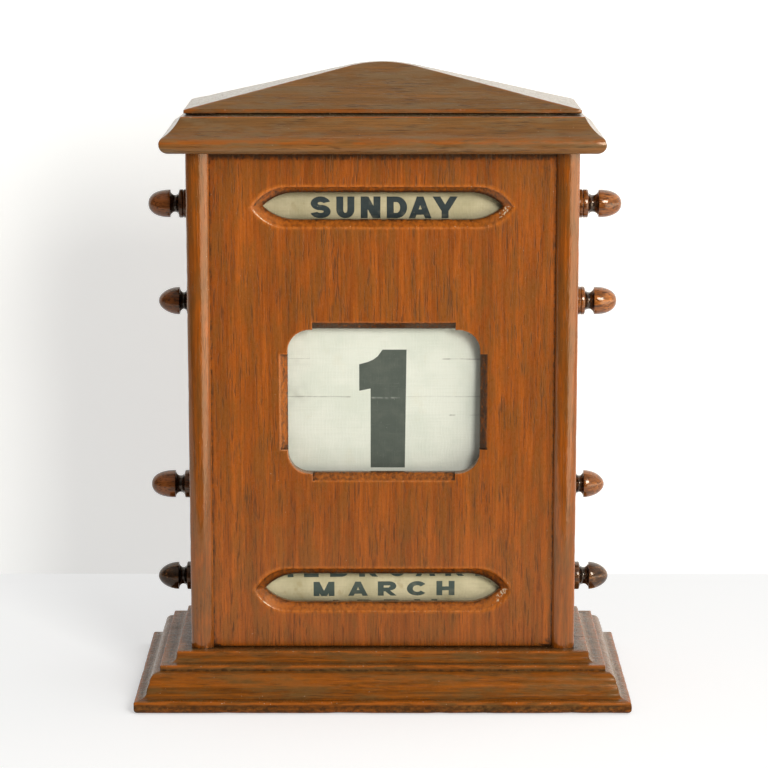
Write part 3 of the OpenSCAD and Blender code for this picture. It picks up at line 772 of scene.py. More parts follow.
class WindowSizes(bpy.types.PropertyGroup):
    """The three windows of the front panel"""

    slot_l: length("Slot length", "Weekday and month windows, tip to tip", 112.6)
    day_h: length("Weekday window height", "Height of the weekday window at the panel's face", 17.8)
    month_h: length("Month window height", "Height of the month window at the panel's face", 19.6)
    slot_run: length("Point length", "Length of the curve at each end of those windows", 15.0)
    day_bevel: length("Weekday bevel", "Width and depth of the bevel round the weekday window", 3.1)
    month_bevel: length("Month bevel", "Width and depth of the bevel round the month window", 3.4)
    tip_bevel: length("Bevel at the tips", "Width of the same bevel at the tips", 4.8)
    day_rise: length("Weekday window rise", "Height of its middle above the spindle", 1.4)
    month_drop: length("Month window drop", "Height of the spindle above its middle", 0.5)
    date_w: length("Number window width", "Width of the day-number window", 83.2)
    date_h: length("Number window height", "Height of the day-number window", 63.4)
    date_r: length("Number window corners", "Corner radius of the day-number window", 9.5)
    chamfer: length("Chamfer", "Width and depth of its stopped chamfers", 3.3)
    stop: length("Chamfer stop", "From the corner curve to the end of a chamfer", 1.2)


class ClothSizes(bpy.types.PropertyGroup):
    """Labels, scroll and lettering"""

    label_w: length("Label width", "Width of the cloth round the weekday and month drums", 128.0)
    label_t: length("Label thickness", "Thickness of that cloth", 0.25)
    drum_r: length("Drum radius", "Radius over the labels", 16.0)
    linen_w: length("Scroll width", "Width of the linen scroll", 104.0)
    linen_t: length("Linen thickness", "Thickness of the linen", 0.2)
    core_r: length("Core radius", "Radius of the rollers inside the rolls", 11.0)
    day_letter: length("Weekday letters", "Height of the weekday capitals", 9.5)
    month_letter: length("Month letters", "Height of the month capitals", 6.85)
    ink_rise: length("Ink height", "How far the ink lies above the cloth", 0.03)


class FinishTones(bpy.types.PropertyGroup):
    """Colours of the woods, cloths and inks"""

    panel: tone("Panel oak", "Middle tone of the case's oak", 152, 78, 22)
    side: tone("Side oak", "Middle tone of the side boards", 138, 70, 8)
    moulding: tone("Base oak", "Middle tone of the base board", 120, 68, 18)
    roof: tone("Roof oak", "Middle tone of the cornice and the roof", 116, 80, 42)
    back: tone("Back oak", "Middle tone of the back board", 128, 84, 50)
    knob: tone("Knob wood", "Middle tone of the polished knobs", 144, 82, 30)
    dark_knob: tone("Dark knob wood", "Middle tone of the dark knobs", 122, 66, 24)
    drum_cloth: tone("Drum cloth", "The yellowed cloth of the labels", 222, 212, 174)
    linen: tone("Scroll linen", "The paler linen of the scroll", 231, 235, 222)
    day_ink: tone("Weekday ink", "Ink of the weekdays", 38, 50, 52)
    month_ink: tone("Month ink", "Ink of the months", 70, 84, 78)
    number_ink: tone("Number ink", "Ink of the day numbers", 80, 88, 80)


class StageSettings(bpy.types.PropertyGroup):
    """Lamps, wall and camera"""

    wall: length("Wall", "How far behind the middle of the case the wall stands", 183.0)
    key_w: length("Key width", "Width of the window light", 360.0)
    key_h: length("Key height", "Height of the window light", 500.0)
    key_power: FloatProperty(name="Key", description="Power of the window light", default=10.5, unit="POWER")
    dim: FloatProperty(name="Room", description="Strength of the room's light all round", default=0.14)
    right: FloatProperty(name="Right", description="How much brighter the room is on the right", default=0.6)
    band: FloatProperty(name="Band", description="Strength of the table edge on the right", default=2.6)
    above: FloatProperty(name="Above", description="How much brighter the ceiling is", default=0.35)


GROUPS = {
    "calendar_case": CaseSizes,
    "calendar_windows": WindowSizes,
    "calendar_cloth": ClothSizes,
    "calendar_tones": FinishTones,
    "calendar_stage": StageSettings,
}


def settings(group):
    return getattr(bpy.context.scene, "calendar_" + group)


def in_mm(group):
    """A group's lengths as plain millimetres, by name."""
    values = settings(group)
    return {name: getattr(values, name) / MM for name in values.__annotations__}


# --- finishes that several pieces share --------------------------------------------

# Each oak's grain axis, its middle tone in the settings, its dark, bright and hazy
# tones, its seed, and what sets its varnish apart
OAKS = {
    "case_oak": ("Z", "panel", (128, 64, 16), (176, 92, 26), (122, 78, 30), 3.0,
                 dict(coat=0.6, gloss=0.24, haze=0.5)),
    "side_oak": ("Z", "side", (104, 54, 8), (172, 86, 10), (102, 66, 24), 19.0,
                 dict(pores=0.4, coat=0.9, gloss=0.1, index=1.6)),
    "moulding_oak": ("X", "moulding", (86, 50, 14), (156, 86, 20), (104, 78, 42), 41.0,
                     dict(grime_and_shade_tone=(58, 34, 12), arris=(180, 96, 28), coat=0.22, gloss=0.2, haze=0.8)),
    "roof_oak": ("X", "roof", (100, 70, 38), (138, 94, 50), (118, 94, 64), 63.0,
                 dict(grime_and_shade_tone=(34, 22, 12), arris=(158, 80, 14), coat=0.5, gloss=0.16, haze=0.8,
                      index=1.62)),
    "back_oak": ("Z", "back", (94, 60, 34), (150, 102, 62), (112, 84, 60), 77.0,
                 dict(coat=0.1, gloss=0.4)),
}

# Each cloth's own tone in the settings, its shaded and its stains' tone, its seed, and
# how strongly stains and threads show
CLOTHS = {
    "scroll_linen": ("linen", (220, 226, 212), (206, 196, 158), 5.0, dict(stains=0.1, thread=0.1)),
    "drum_cloth": ("drum_cloth", (196, 188, 150), (168, 148, 100), 9.0, dict(stains=0.5, thread=0.24)),
}

_made = {}


def shared(name, make, *arguments, **more):
    """The finish of this name, made when it is first asked for."""
    if name not in _made:
        _made[name] = make(name, *arguments, **more)
    return _made[name]


def tone_of(name):
    return tuple(getattr(settings("tones"), name))


def oak_of(name):
    axis, middle, dark, bright, hazy, seed, varnish = OAKS[name]
    tones = (srgb(*dark), tone_of(middle), srgb(*bright), srgb(*hazy))
    return shared(name, oak, axis, tones, seed, **varnish)


def cloth_of(name):
    own, shade, stain, seed, look = CLOTHS[name]
    return shared(name, cloth, tone_of(own), srgb(*shade), srgb(*stain), seed, **look)


# --- boards ------------------------------------------------------------------------

FRAME_SCREWS = [middle_of(f"base_screw_{i}")[:2] for i in range(1, 5)]
BACK_SCREWS = [middle_of(f"back_screw_{i}")[::2] for i in range(1, 7)]

# Radii of the screw holes at the head and at the shank, and of the spindles' bores
FRAME_HEAD_R, FRAME_SHANK_R = 3.85, 1.95
BACK_HEAD_R, BACK_SHANK_R = 2.45, 1.25
BORE_R = 4.06


def level(loop, z):
    return [(x, y, z) for x, y in loop]


def moulded(outline, half_w, half_d, corner, holes):
    """A board whose outline of (out, height, wear, grime) runs round all four sides,
    with screw holes given as steps of (radius, height)."""
    shell = Shell()
    rings = [
        shell.ring(level(rectangle(half_w + out, half_d + out, corner), z), wear, grime_and_shade)
        for out, z, wear, grime_and_shade in outline
    ]
    shell.stack(rings)
    ends = [shell.tunnel(x, y, holes, lambda px, py, z: (px, py, z)) for x, y in FRAME_SCREWS]
    shell.fill(rings[0], [first for first, _ in ends], step=9.0)
    shell.fill(rings[-1], [last for _, last in ends], step=9.0)
    return shell


def shaded(points, wear, grime_and_shade=0.0):
    """Adds wear and grime, constant or from first to last point, to an outline."""
    count = max(len(points) - 1, 1)

    def at(value, i):
        return value[0] + (value[1] - value[0]) * i / count if isinstance(value, tuple) else value

    return [(*p, at(wear, i), at(grime_and_shade, i)) for i, p in enumerate(points)]


class BaseBoard(bpy.types.Operator):
    """Make the moulded base board with its countersunk screw holes"""

    bl_idname = "desk_calendar.base"
    bl_label = "Base board"

    def execute(self, context):
        s = in_mm("case")
        toe, top = s["toe_out"], BASE_HIGH[2]
        # Grime in this outline darkens the toe; it paints shade at the toe's foot, in the coves, the quirk
        # and the step's inside corner, and on the top where the case stands.
        outline = [
            # The toe, worn along its foot, and the cove above it
            *shaded(arc(toe - 1.9, 1.9, 1.9, 1.9, -90, 0, 7), (1.0, 0.6), (0.55, 0.5)),
            (toe, 2.9, 0.25, 0.5),
            (toe, 3.9, 0.3, 0.4),
            *shaded(arc(toe - 0.9, 4.45, 0.9, 0.9, 0, 90, 6), 1.0),
            (toe - 1.6, 5.42, 0.3, 0.1),
            *shaded(arc(toe - 2.55, 8.3, 2.7, 2.7, 270, 180, 9), 0.15, (0.4, 0.05)),
            (toe - 5.5, 9.6, 0.1, 0.1),
            (toe - 6.1, 11.2, 0.6, 0.0),
            # The wide round, and the quirk over it
            *shaded(arc(7.15, 12.05, 4.1, 4.1, 0, 90, 12), (0.5, 0.3), (0.0, 0.35)),
            (6.95, 16.3, 0.0, 0.6),
            (6.9, 16.75, 0.0, 0.5),
            (6.9, 17.3, 0.3, 0.2),
            # The step, and the small cove up to the flat top
            *shaded(arc(6.45, 18.15, 0.45, 0.45, 0, 90, 4), 1.0),
            (5.9, 18.6, 0.35, 0.0),
            (3.4, 18.6, 0.0, 0.5),
            *shaded(arc(2.5, 21.1, 2.5, 2.5, 270, 180, 9), 0.2, (0.3, 0.05)),
            (0.0, 21.9, 0.4, 0.0),
            *shaded(arc(-0.5, top - 0.5, 0.5, 0.5, 0, 90, 4), 1.0),
            (-1.4, top, 0.2, 0.1),
            (-4.0, top, 0.0, 0.5),
            (-6.5, top, 0.0, 0.9),
        ]
        half_w, half_d = BASE_HIGH[0] - toe, BASE_HIGH[1] - toe
        holes = [(FRAME_HEAD_R, 0.0), (FRAME_HEAD_R, 1.0), (FRAME_SHANK_R, 2.9), (FRAME_SHANK_R, top)]
        piece = moulded(outline, half_w, half_d, s["mitre_r"], holes).mesh("base_board_moulded", 40)
        roughen(piece, s["unevenness"], 26, s["chips"] * 1.2, 1.0)
        dress(piece, "case", "oak_mouldings", oak_of("moulding_oak"), "base_board")
        return {"FINISHED"}


class CorniceBoard(bpy.types.Operator):
    """Make the moulded cornice board under the roof"""

    bl_idname = "desk_calendar.cornice"
    bl_label = "Cornice board"

    def execute(self, context):
        s = in_mm("case")
        low, high = CORNICE_LOW[2], CORNICE_HIGH[2]
        out, top_out = CORNICE_HIGH[0] - SIDE_HIGH[0], 1.75
        nose_r = 4.2
        nose, foot = (out, low + nose_r), (out - 1.1, low + 6.8)
        outline = [
            # The underside, and the round nose, with painted shade under them that fades up the nose
            (out - 6.5, low, 0.0, 0.5),
            *shaded(arc(out - nose_r, low + nose_r, nose_r, nose_r, -90, 0, 10), (0.0, 0.25), (0.3, 0.0)),
            *shaded(bowed(nose, foot, -0.35, 5), (1.0, 0.5))[1:],
            # The bowed slope, up to the flat top under the roof block, where painted shade darkens it
            *shaded(bowed(foot, (top_out + 0.15, high - 0.5), 0.8, 14), (0.3, 0.0), (0.15, 0.1))[1:],
            *shaded(arc(top_out - 0.35, high - 0.4, 0.4, 0.4, 10, 90, 4), 1.0),
            (top_out - 1.2, high, 0.2, 0.3),
            (top_out - 2.2, high, 0.0, 0.8),
        ]
        holes = [(FRAME_SHANK_R, low), (FRAME_SHANK_R, high - FRAME_SHANK_R), (FRAME_HEAD_R, high)]
        piece = moulded(outline, *SIDE_HIGH[:2], s["mitre_r"], holes).mesh("cornice_board_moulded", 40)
        roughen(piece, s["unevenness"], 24, s["chips"], 5.0)
        dress(piece, "case", "oak_mouldings", oak_of("roof_oak"), "cornice_board")
        return {"FINISHED"}


class RoofBlock(bpy.types.Operator):
    """Make the low hipped roof block with its rounded top"""

    bl_idname = "desk_calendar.roof"
    bl_label = "Roof block"

    def execute(self, context):
        s = in_mm("case")
        low, (half_w, half_d) = ROOF_LOW[2], ROOF_HIGH[:2]
        gap, eave, rise = 0.5, 2.1, 20.4  # shadow line, top of the eaves, rise of the hips
        round_w, round_d = 15.0, 2.5  # half width and half depth of the rounded crest

        def reach(height, half, round_half):
            """Half width of the roof at a height above its seat."""
            slope = rise / half
            crest = eave + rise - round_half * slope / 2
            if height <= crest - round_half * slope / 2:
                return half - (height - eave) / slope
            return round_half * math.sqrt(max(0.0, (crest - height) * 2 / (round_half * slope)))

        top = ROOF_HIGH[2] - low
        heights = [eave + 0.3 + (top - eave - 0.31) * (1 - (1 - i / 34) ** 1.5) for i in range(35)]
        shell = Shell()
        rings = []
        # The seat and the foot of the eaves are darkened: painted shade in the gap over the cornice.
        for inset, z, wear, grime_and_shade in (
            (1.0, 0.0, 0.0, 1.0), (1.0, gap, 0.0, 1.0), (0.35, gap, 0.3, 0.9), (0.0, gap + 0.3, 0.8, 0.2),
            (0.0, eave - 0.3, 0.7, 0.1), (0.1, eave - 0.1, 1.0, 0.0), (0.35, eave, 1.0, 0.0),
        ):
            loop = rectangle(half_w - inset, half_d - inset, 0.5, 60, 24)
            rings.append(shell.ring(level(loop, low + z), wear, grime_and_shade))
        for z in heights:
            w, d = reach(z, half_w, round_w), reach(z, half_d, round_d)
            loop = rectangle(w, d, min(0.6, w + 0.001, d), 60, 24)
            rubbed_hips = [0.7 if w - abs(x) < 1 and d - abs(y) < 1 else 0.06 for x, y in loop]
            rings.append(shell.ring(level(loop, low + z), rubbed_hips, 0.0))
        shell.stack(rings)
        shell.fill(rings[0], step=12.0)
        shell.fill(rings[-1])
        piece = shell.mesh("roof_block_hipped", 30)
        roughen(piece, s["unevenness"] * 1.2, 30, s["chips"] * 0.8, 9.0)
        dress(piece, "case", "oak_mouldings", oak_of("roof_oak"), "roof_block")
        return {"FINISHED"}


def side_plan(s):
    """Plan of the right side board as (x, y, wear, grime), counter-clockwise."""
    (inner, front, _), (outer, back, _) = SIDE_LOW, SIDE_HIGH
    middle, r, a = (inner + outer) / 2, s["nose_r"], s["arris_r"]
    reach = math.degrees(math.asin(((outer - inner) / 2 - a) / r))
    shoulder = front + r - math.sqrt(r * r - ((outer - inner) / 2) ** 2)
    seat_low, seat_high = PANEL_LOW[1] - 0.1, PANEL_HIGH[1] + 0.1
    ledge_y, ledge_x, groove_x = BACK_LOW[1], inner + s["ledge"], inner + s["groove"]

    def run(x, y0, y1, grime0, grime1, count):
        """A straight stretch, its grime from one value to another."""
        return shaded([(x, y0 + (y1 - y0) * i / count) for i in range(count + 1)], 0.0, (grime0, grime1))

    return [
        *shaded(arc(middle, front + r, r, r, 270 - reach, 270 + reach, 16), 0.12),
        *shaded(arc(outer - a, shoulder + a, a, a, -30, 0, 2), 1.0),
        (outer, shoulder + 1.4, 0.2, 0.0),
        *run(outer, shoulder + 3.5, back - 2.0, 0.0, 0.05, 15),
        *shaded(arc(outer - 0.5, back - 0.5, 0.5, 0.5, 0, 90, 3), 0.8),
        # From the ledge on, the inner face, the groove and the inner arris by the panel are darkened: painted
        # shade inside the case and in its joints.
        (ledge_x + 0.3, back, 0.4, 0.3),
        (ledge_x, back - 0.3, 0.3, 0.6),
        (ledge_x, ledge_y, 0.0, 1.0),
        (inner, ledge_y, 0.0, 0.4),
        *run(inner, ledge_y - 3, seat_high + 2, 0.3, 0.3, 9),
        (inner, seat_high, 0.0, 0.6),
        (groove_x, seat_high, 0.0, 1.0),
        (groove_x, seat_low, 0.0, 1.0),
        (inner, seat_low, 0.0, 1.0),
        *shaded(arc(inner + a, shoulder + a, a, a, 180, 210, 2), 1.0, (0.5, 0.0)),
    ]


class SideBoards(bpy.types.Operator):
    """Make the two side boards with rounded front edges and spindle holes"""

    bl_idname = "desk_calendar.sides"
    bl_label = "Side boards"

    def execute(self, context):
        s = in_mm("case")
        plan = side_plan(s)
        rubbed_and_lit = [wear for _, _, wear, _ in plan]
        low, high = SIDE_LOW[2], SIDE_HIGH[2]
        count = 60
        for name, side in (("left_side", -1), ("right_side", 1)):
            shell = Shell()
            rings = []
            for i in range(count + 1):
                z = low + (high - low) * i / count
                # Darker towards both ends: painted shade where the board meets the base and the cornice.
                ends = max(0.0, 1 - (z - low) / 5) * 0.45 + max(0.0, 1 - (high - z) / 4) * 0.5
                soiled_and_shaded = [min(1.0, grime_and_shade + ends) for _, _, _, grime_and_shade in plan]
                rings.append(shell.ring([(side * x, y, z) for x, y, _, _ in plan], rubbed_and_lit, soiled_and_shaded))
            shell.stack(rings)
            shell.fill(rings[0], step=3.0)
            shell.fill(rings[-1], step=3.0)
            piece = shell.mesh(name + "_board", None)
            roughen(piece, s["unevenness"] * 0.8, 22, s["chips"] * 0.9, 13.0 + side)
            for y, z in AXES.values():
                drill(piece, side * (SIDE_LOW[0] + SIDE_HIGH[0]) / 2, y, z)
            piece.data.set_sharp_from_angle(angle=math.radians(38))
            dress(piece, "case", "oak_case", oak_of("side_oak"), name)
        return {"FINISHED"}


def drill(piece, x, y, z):
    """Bores a spindle hole through a side board."""
    shell = Shell()
    # The cutter's grime darkens the bore's walls: painted shade in the hole.
    ends = [shell.ring([(x + d, *p) for p in circle(y, z, BORE_R, 40)], 0.0, 1.0) for d in (-8, 8)]
    shell.stack(ends)
    shell.faces += [tuple(ends[0]), tuple(ends[1])]
    cutter = shell.mesh("cutter", None)
    change = piece.modifiers.new("hole", "BOOLEAN")
    change.operation, change.solver, change.object = "DIFFERENCE", "EXACT", cutter
    graph = bpy.context.evaluated_depsgraph_get()
    graph.update()
    bored = piece.evaluated_get(graph)
    made = bpy.data.meshes.new_from_object(bored, preserve_all_data_layers=True, depsgraph=graph)
    piece.modifiers.clear()
    piece.data = made
    bpy.data.objects.remove(cutter)


# --- front and back panels ---------------------------------------------------------

# Middle of a chip in the panel's face, beside the number window's lower right corner
CHIP = (43.0, 107.8)

# How far the number window's middle lies right of and above the middle of its spindles
NUMBER_SHIFT = (0.5, 0.3)


class Panel:
    """The front panel's shell while its windows are cut. The panel stands upright, and
    a depth of 0 is its front face."""

    def __init__(self):
        self.shell = Shell()
        self.front, self.back = PANEL_LOW[1], PANEL_HIGH[1]
        self.fronts, self.backs = [], []

    def ring(self, loop, depth, wear=0.0, grime_and_shade=0.0):
        return self.shell.ring([(x, self.front + depth, z) for x, z in loop], wear, grime_and_shade)

    def cut(self, rings):
        """Joins the rings of a window and leaves both faces open for it."""
        self.shell.stack(rings)
        self.fronts.append(rings[0])
        self.backs.append(rings[-1])

    def edge(self):
        """The panel's outline, its front arris softened, and painted shade in the joints round it, lighter
        along its foot.
        """
        low, high = PANEL_LOW, PANEL_HIGH
        x, z = (low[0] + high[0]) / 2, (low[2] + high[2]) / 2
        w, h = (high[0] - low[0]) / 2, (high[2] - low[2]) / 2
        thick = self.back - self.front
        rings = []
        for inset, depth, grime_and_shade in (
            (4.2, 0, 0.1), (3.3, 0, 0.45), (1.2, 0, 1.0), (0.45, 0, 1.0), (0.12, 0.12, 1.0),
            (0, 0.45, 1.0), (0, thick - 0.3, 0.8), (0.3, thick, 0.5),
        ):
            loop = rectangle(w - inset, h - inset, 0.3, 40, 60)
            # Painted shade darkens the joints round the panel, a quarter as much along its foot.
            dark = [0.25 * grime_and_shade if pz < 6 - h and abs(px) < w - 5 else grime_and_shade for px, pz in loop]
            rings.append(self.ring([(x + px, z + pz) for px, pz in loop], depth, 0.0, dark))
        self.shell.stack(rings)
        self.outer_front, self.outer_back = rings[0], rings[-1]

    def slot(self, s, z, height, bevel):
        """A weekday or month window: a bevel that meets in a point at each end."""
        tip, run = s["tip_bevel"], s["slot_run"]
        half_l, half_h = s["slot_l"] / 2, height / 2
        beyond = slot_loop(half_l + 1.15, half_h + 1, run + 0.2, z)
        outer = slot_loop(half_l, half_h, run, z)
        inner = slot_loop(half_l - tip, half_h - bevel, run - (tip - bevel) / 2, z)
        rings = []
        for out, wear in ((1.3, 0.0), (0.6, 0.5)):
            rings.append(self.ring([mixed(a, b, out) for a, b in zip(outer, beyond)], 0.0, wear))

        # The rounded arris, the bevel and the wall behind it, as shares of the bevel
        steps = []
        for k in (0.25, 0.5, 0.75, 1.0):
            steps.append((0.1 * (k * k - (1 - k) ** 2), bevel * 0.1 * k * k, 1.0, 0.0))
        for t, wear, grime_and_shade in (
            (0.2, 0.5, 0.55), (0.32, 0.3, 0.35), (0.55, 0.35, 0.4), (0.75, 0.15, 0.6), (0.93, 0.0, 0.9),
        ):
            steps.append((t, bevel * t, wear, grime_and_shade))
        steps += [(1.0, bevel + 0.25, 0.2, 0.9), (1.0, bevel + 0.9, 0.0, 0.8), (1.0, 6.0, 0.0, 0.9)]
        for t, depth, wear, grime_and_shade in steps:
            loop = [mixed(a, b, t) for a, b in zip(outer, inner)]
            # The upper bevel, which faces down, is painted darker than the lower one, and the rings darken
            # deeper in: painted shade.
            dark = [grime_and_shade * (1.15 if pz > z + 1 else 0.6) for _, pz in loop]
            rubbed_and_lit = [self.bevel_wear_and_light(px / half_l, (pz - z) / half_h, t, wear) for px, pz in loop]
            rings.append(self.ring(loop, depth, rubbed_and_lit, [min(1.0, d) for d in dark]))
        self.cut(rings)

    def bevel_wear_and_light(self, along, up, t, wear):
        """A paler lower bevel, painted light where it faces up, and bare filler in it: on the
        arris of the left point and inside the right one."""
        if 0.12 < t < 0.95 and up < -0.3:
            wear += 0.5
        if t < 0.08 and up < 0:
            return max(wear, 1.8 - 9 * abs(along + 0.92) if t > 0 else wear)
        if 0.25 < t < 0.9 and up < 0.02:
            return max(wear, 1.42 - 6 * abs(along - 0.94))
        return wear

    def number_window(self, s, cx, cz):
        """The day-number window: rounded corners, and a stopped chamfer on each side."""
        w, h, r, c = s["date_w"] / 2, s["date_h"] / 2, s["date_r"], s["chamfer"]
        outer, inner, chamfered = [], [], []
        for quarter, (ox, oz) in enumerate(((1, 1), (-1, 1), (-1, -1), (1, -1))):
            corner = arc(ox * (w - r), oz * (h - r), r, r, 90 * quarter, 90 * quarter + 90, 10)
            outer += corner
            inner += corner
            chamfered += [0.0] * len(corner)
            flat = quarter % 2 == 0
            half = (w if flat else h) - r - s["stop"]
            for i in range(25):
                t = half * (1 - i / 12)
                at = (ox * t, oz * h) if flat else (ox * w, oz * t)
                lip = (at[0], at[1] + oz * c) if flat else (at[0] + ox * c, at[1])
                plain, cut = (at, at, 0.4), (lip, at, 1.0)
                for out, into, share in [plain, cut] if i == 0 else [cut, plain] if i == 24 else [cut]:
                    outer.append(out)
                    inner.append(into)
                    chamfered.append(share)

        # Painted shade lies thickest in the upper and right chamfers, which face down and away from the
        # light, and the chamfers darken towards their stopped ends
        soil_and_shade = [1.0 if z > h + 0.5 * c else 0.85 if x > w + 0.5 * c else 0.2 for x, z in outer]
        ends = []
        for x, z in outer:
            from_stop = min(abs(abs(x) - w + r + s["stop"]), abs(abs(z) - h + r + s["stop"]))
            ends.append(0.8 * math.exp(-from_stop / 1.6))
        outer = [(cx + x, cz + z) for x, z in outer]
        inner = [(cx + x, cz + z) for x, z in inner]
        rings = []
        # The rings darken deeper into the window: painted shade.
        for out, t, depth, wear, grime_and_shade in (
            (1.0, 0, 0.0, 0.0, 0.0), (0.45, 0, 0.0, 0.2, 0.0), (0.16, 0, 0.06, 0.5, 0.0),
            (0.0, 0.06, 0.22, 0.5, 0.3), (0.0, 0.2, 0.66, 0.5, 0.5), (0.0, 0.5, 1.65, 0.7, 0.5),
            (0.0, 0.8, 2.64, 0.5, 0.5), (0.0, 0.97, 3.2, 0.3, 0.7), (0.0, 1.0, 3.55, 0.2, 0.7),
            (0.0, 1.0, 4.4, 0.0, 0.6), (0.0, 1.0, 6.0, 0.0, 0.8),
        ):
            base = grown(outer, out) if out else outer
            loop = [mixed(a, b, t) for a, b in zip(base, inner)]
            soiled_and_shaded = [min(1.0, grime_and_shade * (0.6 + k * (u + e))) for k, u, e in zip(chamfered, soil_and_shade, ends)]
            # The left and lower chamfers, which face the light, are painted paler.
            rubbed_and_lit = [wear if u > 0.5 else 1.4 * wear for u in soil_and_shade]
            rings.append(self.ring(loop, depth, rubbed_and_lit, soiled_and_shaded))
        self.cut(rings)

    def close(self):
        """Fills both faces round the windows."""
        low, high = PANEL_LOW, PANEL_HIGH

        def shade(x, z):
            """Painted shade along the side boards, darkest by the right one, under the cornice and along the
            foot, and the chip.
            """
            left, right = x - low[0] - 2.8, high[0] - 2.8 - x
            foot, head = z - low[2], high[2] - z
            grime_and_shade = 0.7 * math.exp(-max(left, 0) / 0.9) + 1.5 * math.exp(-max(right, 0) / 1.1)
            grime_and_shade += 0.12 * math.exp(-max(left, 0) / 9) + 0.1 * math.exp(-max(right, 0) / 9)
            grime_and_shade += 0.03 * math.exp(-foot / 12) + 0.07 * math.exp(-foot / 0.8) + 0.5 * math.exp(-head / 14)
            chip = max(0.0, 1.3 - math.dist((x, z), CHIP) / 2.4)
            return chip, max(0.0, min(1.0, grime_and_shade * (0.85 + 0.3 * ripple(x, 0, z, 18, 2.0))))

        self.shell.fill(self.outer_front, self.fronts, flat=(0, 2), step=3.0, shade=shade)
        self.shell.fill(self.outer_back, self.backs, flat=(0, 2), step=9.0)


class FrontPanel(bpy.types.Operator):
    """Make the front panel with its three windows"""

    bl_idname = "desk_calendar.front"
    bl_label = "Front panel"

    def execute(self, context):
        s, w = in_mm("case"), in_mm("windows")
        panel = Panel()
        panel.edge()
        panel.slot(w, AXES["day"][1] + w["day_rise"], w["day_h"], w["day_bevel"])
        panel.slot(w, AXES["month"][1] - w["month_drop"], w["month_h"], w["month_bevel"])
        middle = (AXES["date_upper"][1] + AXES["date_lower"][1]) / 2
        right, up = NUMBER_SHIFT
        panel.number_window(w, right, middle + up)
        panel.close()
        piece = panel.shell.mesh("front_panel_windows", 34)
        roughen(piece, s["unevenness"], 34, s["chips"] * 0.5, 21.0)
        dress(piece, "case", "oak_case", oak_of("case_oak"), "front_panel")
        return {"FINISHED"}


class BackPanel(bpy.types.Operator):
    """Make the back board, with countersunk holes for its screws"""

    bl_idname = "desk_calendar.back"
    bl_label = "Back board"

    def execute(self, context):
        s = in_mm("case")
        inner, face = BACK_LOW[1], BACK_HIGH[1]
        middle, w, h = (BACK_LOW[2] + BACK_HIGH[2]) / 2, BACK_HIGH[0], (BACK_HIGH[2] - BACK_LOW[2]) / 2
        shell = Shell()
        rings = []
        # The board darkens towards its edges: painted shade where it sits in the case.
        for inset, y, wear, grime_and_shade in (
            (5.0, face, 0, 0.2), (1.6, face, 0.1, 0.5), (0.5, face, 0.8, 0.4),
            (0.12, face - 0.12, 0.9, 0.5), (0.0, face - 0.5, 0.2, 0.8), (0.0, inner + 0.2, 0, 0.8),
            (0.2, inner, 0, 0.6),
        ):
            loop = rectangle(w - inset, h - inset, 0.3, 40, 60)
            rings.append(shell.ring([(x, y, middle + z) for x, z in loop], wear, grime_and_shade))
        shell.stack(rings)
        holes = [(BACK_HEAD_R, face), (BACK_SHANK_R, face - 1.2), (BACK_SHANK_R, inner)]
        ends = [shell.tunnel(x, z, holes, lambda px, pz, y: (px, y, pz), grime_and_shade=0.9) for x, z in BACK_SCREWS]

        def shade(x, z):
            """Grime round the screws, and a little in patches."""
            near = min(math.dist((x, z), screw) for screw in BACK_SCREWS)
            grime_and_shade = 0.5 * math.exp(-max(near - 2.4, 0) / 1.8) + 0.1 + 0.15 * ripple(x, 0, z, 25, 4)
            return 0.0, min(1.0, grime_and_shade)

        shell.fill(rings[0], [first for first, _ in ends], flat=(0, 2), step=3.4, shade=shade)
        shell.fill(rings[-1], [last for _, last in ends], flat=(0, 2), step=9.0)
        piece = shell.mesh("back_board", 34)
        roughen(piece, s["unevenness"], 40, s["chips"] * 0.4, 31.0)
        dress(piece, "case", "oak_back", oak_of("back_oak"), "back_panel")
        return {"FINISHED"}


class Hardware(bpy.types.Operator):
    """Give the screws and the rollers, which keep their own solids, a finish"""

    bl_idname = "desk_calendar.hardware"
    bl_label = "Screws and rollers"

    def execute(self, context):
        brass = shared("old_brass", old_metal, (186, 150, 84), (112, 86, 48), 2.0)
        steel = shared("old_steel", old_metal, (150, 150, 148), (82, 76, 70), 6.0)
        coat_node([f"back_screw_{i}" for i in range(1, 7)], brass)
        coat_node([f"{place}_screw_{i}" for place in ("base", "cornice") for i in range(1, 5)], steel)
        coat_node([name + "_roller" for name in SPINDLES], shared("turned_beech", plain_wood, 15.0))
        return {"FINISHED"}


# --- turned and woven pieces -------------------------------------------------------

# Lengths of each spindle's left and right knob: its collar, its neck and its cap
KNOBS = {
    "day": ((4.1, 3.8, 9.7), (4.8, 4.6, 10.1)),
    "date_upper": ((1.2, 3.2, 9.3), (3.9, 4.1, 10.0)),
    "date_lower": ((3.1, 4.2, 10.7), (1.1, 3.4, 9.2)),
    "month": ((2.7, 3.7, 9.2), (3.1, 4.2, 8.7)),
}

# Collars longer than this have a turned groove, those shorter than that a pointed cap
GROOVED_OVER, POINTED_UNDER = 3.5, 1.5

# From the middle of the case to a knob's tenon and to its collar, and its radii
TENON_X, COLLAR_X = 62.85, 84.35
TENON_R, COLLAR_R, NECK_R, CAP_R = 4.0, 6.2, 3.7, 6.1


